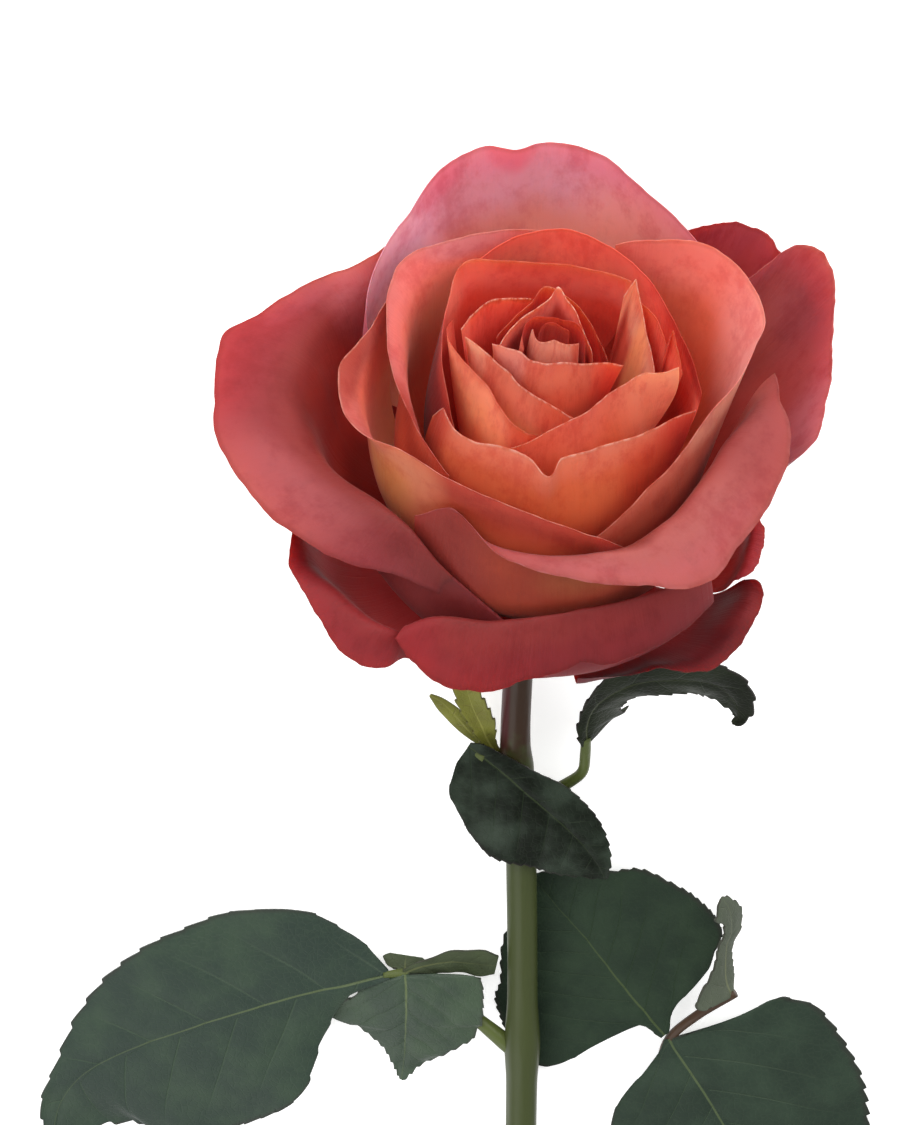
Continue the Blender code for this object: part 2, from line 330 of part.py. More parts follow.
class PetalForm:
    """The middle surface of a petal: u runs along the rim, v from the foot to the rim."""

    CLAW_LEAST = 0.5
    CLAW_SHARE = 0.3
    DETAIL_SPAN = 0.09
    DETAIL_POWER = 5
    CREST_SHARE = 0.15

    def __init__(self, petal):
        self.petal = petal
        self.polar = np.array([station[:3] for station in petal.rim], float)
        self.rolls = np.array([station[3:] or (0.0, 0.0) for station in petal.rim], float)
        self.has_roll = bool(self.rolls.any())
        angles = np.radians(self.polar[:, 0])
        radii = self.polar[:, 1]
        self.knots = shares_along(np.stack([radii * np.cos(angles), radii * np.sin(angles),
                                            self.polar[:, 2]], axis=1))
        self.top = float(self.polar[:, 2].mean())
        self.foot_radius = FIRST_RING + RING_PITCH * petal.ring
        self.foot_height = RECEPTACLE_TOP - RECEPTACLE_CURVE * self.foot_radius**2
        middle = 0.5 * (self.polar[0, 0] + self.polar[-1, 0])
        self.claw = petal.claw + 360.0 * round((middle - petal.claw) / 360.0)
        half_claw = math.degrees((self.CLAW_LEAST + self.CLAW_SHARE * self.foot_radius) / self.foot_radius)
        self.half_claw = math.copysign(half_claw, self.polar[-1, 0] - self.polar[0, 0])

    def rim(self, u):
        azimuth, radius, height = smooth_through(self.knots, self.polar, u)
        angle = math.radians(azimuth)
        return np.array([radius * math.cos(angle), radius * math.sin(angle), height])

    def soft_rim(self, u):
        """The rim with its small notches averaged away, which shapes the petal below it."""
        total = np.zeros(3)
        shifts = [self.DETAIL_SPAN * k / 3 for k in range(-3, 4)]
        for shift in shifts:
            x = u + shift
            if x < 0.0:
                total += 2 * self.rim(0.0) - self.rim(-x)
            elif x > 1.0:
                total += 2 * self.rim(1.0) - self.rim(2.0 - x)
            else:
                total += self.rim(x)
        return total / len(shifts)

    def point(self, u, v):
        sharp = self.rim(u)
        soft = self.soft_rim(u)
        radius, height = math.hypot(soft[0], soft[1]), soft[2]
        near = smooth_through(self.knots, self.polar, u)[0]
        azimuth = math.degrees(math.atan2(soft[1], soft[0]))
        azimuth += 360.0 * round((near - azimuth) / 360.0)
        belly_radius, belly_height = self.petal.belly
        belly_height = min(belly_height, 0.55 * height)
        profile = [(self.foot_radius, self.foot_height), (belly_radius, belly_height)]
        if self.has_roll:
            out, drop = smooth_through(self.knots, self.rolls, u)
            profile.append((radius + self.CREST_SHARE * (belly_radius - radius) - out,
                            height + self.CREST_SHARE * (belly_height - height) + drop))
        profile.append((radius, height))
        r, h = free_curve(profile, v)
        claw_azimuth = self.claw + self.half_claw * (2 * u - 1)
        first, last = self.petal.fill
        width = 1 - (1 - v) ** (first + (last - first) * u)
        angle = math.radians(claw_azimuth + (azimuth - claw_azimuth) * width)
        shift = max(0.0, h / self.top) ** 1.5
        place = np.array([r * math.cos(angle) + self.petal.lean[0] * shift,
                          r * math.sin(angle) + self.petal.lean[1] * shift, h])
        return Vector(place + (sharp - soft) * v**self.DETAIL_POWER)


def sheet(name, surface, segments, thickness, place, shade):
    """A thin body whose middle surface is surface(u, v), with both faces split into the same triangles."""
    mesh = bpy.data.meshes.new(name)
    bm = bmesh.new()
    bmesh.ops.create_grid(bm, x_segments=segments[0], y_segments=segments[1], size=0.5)
    lowest = 0.5 * thickness * MM
    for vert in bm.verts:
        vert.co = surface(vert.co.x + 0.5, vert.co.y + 0.5)
        vert.co.z = max(vert.co.z, lowest)
    bmesh.ops.triangulate(bm, faces=bm.faces)
    bm.to_mesh(mesh)
    bm.free()
    mesh.shade_smooth()
    mesh.materials.append(material(shade))
    obj = bpy.data.objects.new(name, mesh)
    place.objects.link(obj)
    solidify = obj.modifiers.new("Thickness", "SOLIDIFY")
    solidify.thickness = thickness * MM
    solidify.offset = 0.0
    return obj


def on_table(x, y, z):
    """A point given from the bloom's foot, with its height above the table, in metres."""
    return Vector((BLOOM_X + x, BLOOM_Y + y, z)) * MM


def tube(name, rings, sides_step, place, shade):
    """A round solid along rings of (point in metres, radius in mm), as a welded mesh."""
    curve = bpy.data.curves.new(name, "CURVE")
    curve.dimensions = "3D"
    curve.bevel_depth = MM
    curve.bevel_resolution = sides_step
    curve.use_fill_caps = True
    spline = curve.splines.new("POLY")
    spline.points.add(len(rings) - 1)
    for point, (centre, radius) in zip(spline.points, rings):
        point.co = (*centre, 1.0)
        point.radius = radius
    guide = bpy.data.objects.new(name + ".guide", curve)
    place.objects.link(guide)
    depsgraph = bpy.context.evaluated_depsgraph_get()
    mesh = bpy.data.meshes.new_from_object(guide.evaluated_get(depsgraph))
    bpy.data.objects.remove(guide)
    bm = bmesh.new()
    bm.from_mesh(mesh)
    bmesh.ops.remove_doubles(bm, verts=bm.verts, dist=1e-6)
    bmesh.ops.recalc_face_normals(bm, faces=bm.faces)
    bm.to_mesh(mesh)
    bm.free()
    mesh.name = name
    mesh.shade_smooth()
    mesh.materials.clear()
    mesh.materials.append(material(shade))
    obj = bpy.data.objects.new(name, mesh)
    place.objects.link(obj)
    return obj


def smooth_rings(stations, count):
    """Evenly spaced rings on a smooth curve through (x, y, z, radius) stations."""
    knots = shares_along([s[:3] for s in stations])
    rings = []
    for i in range(count):
        x, y, z, radius = smooth_through(knots, stations, i / (count - 1))
        rings.append((on_table(x, y, z), radius))
    return rings


def build_petals(place):
    matrix = bloom_matrix()
    for petal in PETALS:
        form = PetalForm(petal)
        family = petal.name.rsplit("_", 1)[0]
        shade = family if family in COLOURS else "petal_outer"
        sheet(petal.name, lambda u, v: matrix @ form.point(u, v), petal.segments, PETAL_THICK, place, shade)


def build_stem(place):
    """The hip, the peduncle and the stem in one piece, down to its cut end."""
    matrix = bloom_matrix()
    profile = list(HIP)
    dome_top = RECEPTACLE_TOP - SEAT_GAP
    for height in (-1.5, -0.7, 0.4, 1.6, 2.7, 3.7, 4.5, 5.0):
        profile.append((height, math.sqrt((dome_top - height) / RECEPTACLE_CURVE)))
    hip = [(matrix @ Vector((0.0, 0.0, height)), radius) for height, radius in reversed(profile)]
    lowest = hip[-1][0] / MM
    neck = (lowest.x - BLOOM_X, lowest.y - BLOOM_Y, lowest.z, hip[-1][1])
    rings = hip + smooth_rings([neck] + PEDUNCLE, 34)[1:]
    tube("stem", rings, STEM_SIDES_STEP, place, "stem")


def build_sepals(place):
    matrix = bloom_matrix()
    knots = shares_along([s[:2] for s in SEPAL_COURSE])
    for number, azimuth in enumerate(SEPAL_AZIMUTHS, start=1):
        turn = Matrix.Rotation(math.radians(azimuth), 3, "Z")

        def surface(u, v):
            radius, height, half = smooth_through(knots, SEPAL_COURSE, v)
            side = 2 * u - 1
            return matrix @ (turn @ Vector((radius - 0.12 * half * side * side, side * half, height)))

        sheet(f"sepal_{number}", surface, (4, 6), SEPAL_THICK, place, "sepal")


def blade_surface(blade):
    """The middle surface of a leaf blade: u from its right edge to its left, v from base to tip."""
    knots = shares_along([s[:3] for s in blade.stations])
    columns = 2 * blade.teeth if blade.teeth else 8

    def surface(u, v):
        x, y, z, left, right = smooth_through(knots, blade.stations, v)
        ahead = smooth_through(knots, blade.stations, min(1.0, v + 0.02))
        behind = smooth_through(knots, blade.stations, max(0.0, v - 0.02))
        tangent = Vector(ahead[:3] - behind[:3]).normalized()
        side = Vector((0, 0, 1)).cross(tangent).normalized()
        normal = tangent.cross(side)
        roll = math.radians(blade.tilt)
        across = side * math.cos(roll) + normal * math.sin(roll)
        upright = normal * math.cos(roll) - side * math.sin(roll)
        s = 2 * u - 1
        half = max(left if s > 0 else right, 0.3)
        offset = across * (s * half)
        tooth = round(v * columns) % 2 and 0.0 < v < 1.0
        if abs(s) > 0.99 and blade.teeth and tooth:
            offset += across * (math.copysign(0.35 + 0.045 * half, s)) + tangent * 0.7
        lift = -blade.droop * half * s * s
        lift += blade.wave * math.sin(v * 19.0 + 2.0 * s) * s * s
        place = Vector((x, y, z)) + offset + upright * lift
        return on_table(place.x, place.y, place.z)

    return surface, columns


def build_blade(name, blade, place, shade):
    surface, columns = blade_surface(blade)
    return sheet(name, surface, (blade.across, columns), LEAF_THICK, place, shade)


def fuse(name, stalk, blades, place, pieces):
    """Joins the blades of a leaf to its stalk, so that the leaf is one body."""
    for number, blade in enumerate(blades, start=1):
        piece = build_blade(f"{name}.blade_{number}", blade, pieces, "leaf")
        piece.hide_render = True
        piece.display_type = "WIRE"
        union = stalk.modifiers.new(f"Blade {number}", "BOOLEAN")
        union.operation = "UNION"
        union.object = piece


def build_leaves(place, pieces):
    left = tube("leaf_left", smooth_rings(LEFT_PETIOLE, 14), RACHIS_SIDES_STEP, place, "leaf")
    fuse("leaf_left", left, [LEFT_TERMINAL, LEFT_DROOPING, LEFT_INNER, LEFT_BEHIND], place, pieces)
    right = tube("leaf_right", smooth_rings(RIGHT_PETIOLE, 18), RACHIS_SIDES_STEP, place, "leaf")
    fuse("leaf_right", right, [RIGHT_UPPER, RIGHT_LOWER, RIGHT_FOLDED], place, pieces)
    front = tube("leaf_front", smooth_rings(FRONT_STALK, 8), RACHIS_SIDES_STEP, place, "leaf")
    fuse("leaf_front", front, [FRONT_BLADE], place, pieces)
    arching = tube("leaf_arching", smooth_rings(ARCH_STALK, 10), RACHIS_SIDES_STEP, place, "leaf")
    fuse("leaf_arching", arching, [ARCH_BLADE], place, pieces)
    build_blade("bract_slender", BRACT_SLENDER, place, "bract")
    build_blade("bract_broad", BRACT_BROAD, place, "bract")


def main():
    clear_scene()
    rose = collection("Rose")
    pieces = collection("Leaf pieces")
    build_petals(rose)
    build_stem(rose)
    build_sepals(rose)
    build_leaves(rose, pieces)


main()
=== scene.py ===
"""A cut rose lying on a white table, seen from above: coral bloom, dark serrated leaves, green stem."""

import math
from collections import namedtuple

import bmesh
import bpy
import numpy as np
from mathutils import Matrix, Vector


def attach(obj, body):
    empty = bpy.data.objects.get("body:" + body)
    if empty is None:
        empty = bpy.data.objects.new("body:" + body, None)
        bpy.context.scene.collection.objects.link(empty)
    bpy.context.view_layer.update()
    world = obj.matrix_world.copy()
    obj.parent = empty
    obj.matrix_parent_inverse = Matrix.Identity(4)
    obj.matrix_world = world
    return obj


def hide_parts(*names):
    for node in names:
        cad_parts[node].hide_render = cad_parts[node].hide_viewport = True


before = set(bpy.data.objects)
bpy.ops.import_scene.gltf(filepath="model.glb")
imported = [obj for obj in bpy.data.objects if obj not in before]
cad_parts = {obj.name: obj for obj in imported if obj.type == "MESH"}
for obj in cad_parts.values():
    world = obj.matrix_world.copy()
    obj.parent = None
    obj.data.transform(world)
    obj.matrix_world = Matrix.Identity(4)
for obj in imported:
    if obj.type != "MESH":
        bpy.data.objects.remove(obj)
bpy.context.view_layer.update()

MM = 0.001

# How the bloom stands over the table, in millimetres and degrees
BLOOM_X = 13.44
BLOOM_Y = 79.4
FOOT_HEIGHT = 23.5
BLOOM_FOOT = Vector((BLOOM_X, BLOOM_Y, FOOT_HEIGHT)) * MM
BLOOM_RISE = math.radians(29.0)
BLOOM_LEAN = math.radians(5.6)
LEAN_LINE = math.radians(27.0)
RECEPTACLE_TOP = 6.0
RECEPTACLE_CURVE = 0.055
SEAT_GAP = 0.75
RING_PITCH = 1.0
FIRST_RING = 1.3
HIP_RADIUS = 6.6
CALYX_RADIUS = 11.6

PETAL_THICK = 0.4
YOUNG_PETAL_THICK = 0.26
LEAF_THICK = 0.45
SEPAL_THICK = 0.7
# How far the edges of a petal, a leaf and a sepal are rounded
PETAL_EDGE = 0.03
LEAF_EDGE = 0.1
SEPAL_EDGE = 0.12
# A petal's rim: its share of the full thickness, and over what share of the petal's height and length
# it thins out, in how many steps
RIM_SHARE = 0.3
RIM_REACH = 0.12
SIDE_REACH = 0.03
BODY_LEVELS = 12

# A petal's small waves, the crinkles near its rim and the nicks in the rim: how many of each run along
# the rim, their size as a share of the petal's frill, and how steeply they grow towards the rim
WAVES = (3, 5, 8, 13)
WAVE_POWER = 6
CRINKLES = (17, 23, 31, 43)
CRINKLE_SHARE = 0.12
CRINKLE_POWER = 16
NICKS = (7, 13, 23, 37)
NICK_SHARE = 0.85
NICK_POWER = 20
# How closely the rows of a petal's mesh stand near its rim, and the columns of a leaf near its edge
CLOSER_ROWS = 1.25

# The photograph's frame and the camera over it
VIEW_HEIGHT = 0.2025
VIEW_RIGHT = -0.01494
VIEW_UP = -0.00675
CAMERA_TILT = math.radians(27.0)
CAMERA_DISTANCE = 3.0
SENSOR = 36.0

# The lights, as (name, place, watts), and what they shine at
LIGHTS = [("key_left", (-0.6, 1.08, 0.95), 16.0), ("key_right", (0.6, 1.08, 0.95), 16.0),
          ("fill", (-0.6, -0.96, 0.95), 8.6)]
LIGHT_TARGET = Vector((0.0, 0.06, 0.03))
LIGHT_SIZE = 1.4
SKY_LIGHT = 0.65
# The table's half width, in metres, and the white light of its own that keeps its shadows soft
TABLE_HALF = 6.0
TABLE_GLOW = 0.5

# A petal: the ring of its foot on the receptacle and the azimuth of its claw there, its belly
# (radius, height), and its rim from one side to the other as (azimuth, radius, height). A rim that
# rolls over adds how far its crest stands in from the rim and how far above it. Azimuth 90 is the side
# of the bloom that faces the table. lean is how far the petal's own centre line stands off the axis.
# fill says, for the rim's first and last end, how soon the petal reaches its full width.
PLAIN_FILL = (2.4, 2.4)
Petal = namedtuple("Petal", "name ring claw belly rim skin frill lean fill",
                   defaults=((0.0, 0.0), PLAIN_FILL))

HEART = (0.3, 2.8)
PETALS = [
    Petal("petal_heart_1", 0.0, 270, (4.7, 42.0), [
        (176, 4.4, 54.5), (180, 3.9, 57.3), (205, 3.4, 56.3), (270, 1.6, 57.0), (325, 3.4, 56.6),
        (352, 4.5, 55.5)], "heart", 0.05, HEART),
    Petal("petal_heart_2", 0.0, 90, (3.4, 44.0), [
        (176, 2.8, 55.5), (150, 2.5, 57.0), (100, 1.5, 57.8), (60, 1.3, 57.6), (20, 2.7, 56.5)],
        "heart", 0.05, HEART),
    Petal("petal_heart_3", 1.0, 100, (6.1, 36.0), [
        (200, 5.5, 54.0), (175, 5.6, 56.0), (150, 5.0, 57.0), (110, 2.8, 57.6), (70, 2.7, 57.5),
        (35, 4.6, 56.6), (5, 5.6, 54.5)], "heart", 0.08, HEART),
    Petal("petal_heart_4", 1.0, 270, (7.4, 30.0), [
        (186, 10.9, 53.5), (195, 9.3, 54.6), (209, 6.6, 54.6), (228, 5.7, 53.9), (248, 5.4, 54.6),
        (295, 4.8, 54.4), (325, 6.7, 53.8), (344, 9.3, 53.0), (355, 12.8, 51.0)], "heart", 0.08, HEART),
    Petal("petal_heart_5", 2.0, 90, (7.9, 30.0), [
        (185, 9.5, 53.0), (167, 8.0, 54.5), (124, 6.3, 56.5), (102, 6.9, 57.6), (91, 8.3, 59.0),
        (78, 7.0, 57.6), (59, 6.6, 56.0), (38, 6.4, 53.0), (12, 7.2, 50.0)], "heart", 0.08, HEART),
    Petal("petal_heart_6", 3.0, 80, (9.4, 30.0), [
        (173, 10.2, 52.0), (150, 8.8, 53.6), (124, 8.4, 55.2), (104, 9.8, 57.0), (83, 9.1, 55.6),
        (61, 9.0, 53.4), (35, 9.3, 50.0), (13, 10.2, 47.0)], "heart", 0.08, HEART),
    Petal("petal_inner_1", 2.0, 240, (11.0, 29.0), [
        (184, 15.0, 50.5), (179, 15.4, 52.0), (190, 12.4, 52.4), (204, 10.4, 51.8), (222, 8.9, 50.8),
        (247, 8.8, 49.6), (277, 10.0, 48.6), (295, 11.9, 47.0)], "inner", 0.1, (0.0, 3.0)),
    Petal("petal_inner_2", 3.4, 148, (12.2, 28.0), [
        (170, 16.5, 51.0), (159, 15.1, 53.0), (143, 13.4, 53.6), (130, 11.3, 53.6), (119, 10.3, 53.4),
        (103, 11.4, 50.0)], "inner", 0.1, (0.0, 3.0)),
    Petal("petal_inner_3", 3.2, 22, (13.8, 28.0), [
        (47, 17.5, 53.0), (47, 20.2, 55.4), (42, 19.8, 52.8), (26, 18.8, 47.8), (8, 19.0, 44.6)],
        "inner", 0.08, (0.0, 2.0)),
    Petal("petal_inner_4", 3.0, 208, (14.4, 27.0), [
        (159, 19.2, 49.0), (171, 19.0, 51.0), (183, 16.9, 50.4), (197, 14.2, 50.0), (215, 12.6, 49.4),
        (235, 13.6, 48.8), (249, 14.4, 47.8), (259, 14.4, 46.6), (265, 13.2, 45.2), (271, 12.4, 43.4)],
        "inner", 0.1, (0.0, 2.0)),
    Petal("petal_inner_5", 3.0, 315, (17.0, 26.0), [
        (251, 16.5, 45.4), (262, 15.1, 47.0), (268, 13.9, 47.5),
        (298, 11.5, 48.6), (328, 11.7, 49.6), (346, 13.8, 50.4),
        (357, 16.8, 51.0, -0.2, -0.4), (359, 20.0, 50.8, -0.6, -1.6), (363, 22.9, 51.0, -1.0, -3.0)],
        "inner", 0.1, (0.0, 1.0), (2.4, 5.0)),
    Petal("petal_inner_6", 4.3, 30, (18.8, 26.0), [
        (50, 22.2, 49.4), (33, 22.0, 50.4), (22, 22.0, 48.4), (25, 23.4, 51.0), (19, 23.6, 48.6),
        (10, 24.0, 46.0)], "inner", 0.1),
    Petal("petal_inner_7", 4.4, 134, (20.6, 26.0), [
        (211, 18.4, 42.0), (196, 18.2, 45.4), (172, 19.6, 49.0), (149, 22.2, 51.4), (132, 25.2, 53.0),
        (118, 22.4, 53.4), (99, 20.6, 53.0), (77, 21.4, 52.0), (57, 24.0, 50.4)], "inner", 0.12),
    Petal("petal_inner_8", 4.2, 275, (22.0, 24.0), [
        (201, 21.2, 42.6), (203, 19.6, 45.4), (217, 20.0, 46.2), (231, 19.6, 47.0), (248, 17.6, 47.8),
        (264, 18.2, 47.6), (275, 20.6, 46.2), (282, 17.8, 47.8), (307, 17.8, 48.0), (329, 20.4, 47.6),
        (346, 23.8, 46.8), (355, 26.8, 44.6)], "inner", 0.15),
    Petal("petal_cup_1", 5.4, 68, (24.2, 24.0), [
        (123, 26.0, 50.0), (106, 28.0, 51.4), (88, 29.2, 51.4), (73, 28.6, 50.4), (57, 27.6, 49.0),
        (39, 26.4, 46.4), (22, 26.8, 43.4), (9, 27.8, 40.0)], "cup", 0.15),
    Petal("petal_cup_2", 5.2, 163, (25.6, 22.0), [
        (97, 30.4, 49.0), (125, 31.8, 50.0, 0.6, 0.4), (145, 34.8, 49.0, 2.2, 0.8),
        (153, 33.4, 48.0, 2.4, 0.8), (165, 30.6, 46.6, 2.4, 0.8), (180, 28.0, 45.0, 2.0, 0.8),
        (196, 25.6, 43.4, 1.4, 0.6), (212, 24.2, 41.4, 0.6, 0.4), (228, 23.8, 39.0)],
        "cup", 0.15),
    Petal("petal_cup_3", 5.9, 230, (28.4, 18.8), [
        (150, 34.0, 43.0), (163, 33.6, 44.0, 0.2, 0.2), (171, 34.8, 44.0, 0.8, 0.6),
        (180, 37.2, 43.4, 1.6, 1.0), (193, 36.8, 42.6, 1.6, 1.0), (201, 34.8, 42.4, 1.0, 0.6),
        (212, 29.4, 42.4, 0.2, 0.0), (232, 26.0, 42.4), (254, 25.2, 42.2),
        (279, 27.6, 41.2), (292, 29.2, 38.2), (300, 29.2, 34.0),
        (308, 29.2, 28.5)], "cup", 0.15),
    Petal("petal_cup_4", 6.2, 3, (27.0, 19.6), [
        (72, 31.2, 47.6), (62, 34.0, 49.6), (51, 39.0, 50.0), (38, 41.4, 49.2), (24, 41.0, 48.0),
        (17, 38.0, 47.0), (8, 34.4, 46.2), (-8, 28.8, 45.0), (-30, 26.8, 42.6), (-42, 26.8, 42.4),
        (-52, 26.6, 39.0), (-61, 26.4, 35.2), (-68, 26.2, 31.6)], "cup", 0.2),
    Petal("petal_rolled", 7.1, 303, (31.2, 16.5), [
        (20, 43.0, 34.0, 0.4, 0.4), (11, 42.0, 37.0, 2.0, 1.6), (4, 43.6, 36.4, 5.0, 3.6),
        (-5, 44.2, 35.4, 8.0, 5.4), (-16, 43.8, 34.8, 8.8, 6.4), (-30, 43.2, 34.0, 9.0, 7.0),
        (-43, 44.6, 33.6, 8.8, 7.0), (-52, 42.6, 33.6, 7.4, 6.2), (-58, 39.6, 34.0, 5.6, 5.2),
        (-70, 36.6, 34.2, 4.2, 4.0), (-86, 33.2, 34.4, 2.6, 2.8), (-102, 31.0, 35.2, 1.6, 1.8),
        (-112, 28.8, 36.4, 0.6, 0.6), (-122, 27.6, 37.0), (-133, 31.2, 33.0)],
        "rolled", 0.3),
    Petal("petal_back", 7.0, 93, (33.0, 14.5), [
        (163, 34.0, 38.0), (155, 37.0, 42.4), (142, 40.0, 45.4), (131, 42.6, 47.2), (118, 47.8, 48.0),
        (107, 50.4, 48.0), (101, 49.2, 47.4), (95, 50.6, 48.0), (83, 49.2, 47.6), (71, 44.6, 46.4),
        (57, 42.6, 44.6), (50, 41.4, 42.4), (44, 40.2, 39.0)], "back", 0.3),
    Petal("petal_guard_left", 8.0, 190, (34.4, 12.6), [
        (126, 45.0, 38.0), (137, 43.6, 38.8, 1.0, 0.4), (156, 50.2, 37.6, 3.8, 1.2),
        (164, 55.0, 36.0, 6.4, 2.0), (170, 59.4, 35.0, 9.2, 2.4), (180, 59.2, 33.2, 9.5, 3.4),
        (189, 58.4, 31.6, 10.3, 4.4), (199, 55.4, 30.4, 10.2, 5.3), (211, 50.0, 28.2, 10.2, 7.1),
        (221, 43.8, 24.8, 7.9, 9.0), (228, 38.6, 23.2, 5.2, 9.4), (241, 34.0, 20.0, 1.8, 7.4),
        (255, 33.0, 16.6, 0.8, 5.0), (268, 33.4, 14.6, 0.2, 1.5)], "guard", 0.4),
    Petal("petal_guard_right", 8.0, 27, (35.6, 12.0), [
        (50, 45.0, 29.5), (46, 49.6, 33.2), (45.2, 52.6, 35.4), (44.8, 56.2, 36.8), (43.6, 60.2, 36.2),
        (41, 63.2, 34.0), (36, 61.4, 32.2), (27, 56.4, 30.4), (16, 52.2, 29.0), (6, 48.8, 27.4),
        (1, 44.0, 25.4), (-2, 41.0, 23.0)], "guard_dark", 0.4),
    Petal("petal_guard_back", 9.0, 52, (37.8, 9.2), [
        (72, 43.0, 31.0), (63, 50.0, 33.4), (57, 56.0, 33.6), (51, 59.0, 32.0), (46, 58.8, 30.2),
        (32, 58.0, 26.0)], "guard_dark", 0.35),
    Petal("petal_low_front", 9.0, 282, (36.8, 6.4), [
        (239, 44.0, 15.4, 1.6, 2.0), (243, 44.2, 13.0, 4.4, 6.0), (250, 45.1, 10.4, 6.8, 9.4),
        (262, 43.9, 9.8, 7.6, 10.2), (272, 40.8, 11.0, 6.2, 10.6), (284, 39.0, 12.0, 5.0, 10.8),
        (287, 38.4, 12.6, 5.0, 10.6), (292, 39.4, 12.0, 5.0, 10.8), (303, 40.0, 13.0, 4.4, 11.2),
        (314, 40.8, 14.2, 2.8, 11.6), (324, 41.0, 17.0, 1.0, 10.0)], "low", 0.3),
    Petal("petal_low_left", 9.0, 222, (38.4, 5.0), [
        (190, 40.0, 13.0), (207, 48.0, 20.4, 0.4, 0.4), (213, 50.4, 18.8, 1.0, 1.0),
        (221, 50.0, 15.4, 2.4, 3.0), (229, 50.4, 12.0, 3.4, 5.0), (235, 49.2, 9.8, 3.6, 6.0),
        (239, 46.4, 9.2, 3.2, 5.0), (241, 42.4, 8.6, 1.6, 2.4), (247, 40.6, 7.6)],
        "low", 0.25),
    Petal("petal_low_right", 9.0, 350, (37.8, 8.4), [
        (-23, 40.6, 12.6, 0.2, 0.2), (-19, 42.6, 13.6, 0.8, 1.0), (-14, 42.5, 15.0, 1.2, 1.2),
        (-10, 41.9, 16.4, 1.0, 1.0), (-8, 40.3, 18.0, 0.6, 0.6), (-5, 39.4, 15.0, 0.2, 0.2),
        (-3, 38.6, 11.0)], "guard_dark", 0.2),
    Petal("petal_low_curled", 10.1, 312, (35.6, 1.4), [
        (287, 36.0, 3.9), (293, 37.4, 4.3), (300, 38.9, 5.2),
        (308.5, 40.5, 5.3, 0.2, 0.2), (313, 43.7, 5.2, 0.4, 0.4), (317, 46.1, 5.8, 0.5, 0.6),
        (322, 47.0, 6.8, 0.6, 0.9), (327, 47.0, 8.0, 0.7, 1.2), (333, 46.3, 9.0, 0.8, 1.4),
        (339, 45.2, 9.6, 0.5, 0.8), (341.5, 43.0, 9.5, 0.2, 0.3), (341, 40.8, 8.8)],
        "low_deep", 0.25),
]
# The columns and rows of a petal's mesh, by its skin
PETAL_MESH = {"heart": (72, 30), "inner": (104, 36), "cup": (132, 42), "rolled": (192, 48),
              "guard": (192, 48)}
LARGE_PETAL_MESH = (144, 46)

# A leaf blade: the stations of its midrib from base to tip, as (x, y, z, width left, width right).
# x and y are from the bloom's foot and z is above the table; left is seen from the base. tilt lifts
# the left side by that many degrees; droop and wave bend the sides down and up.
# teeth is how many teeth a side has, veins how many side veins, and mesh its columns and rows. A name
# begins with the part's node that the piece stands for, up to the dot.
Blade = namedtuple("Blade", "name stations teeth tilt droop wave veins mesh finish")

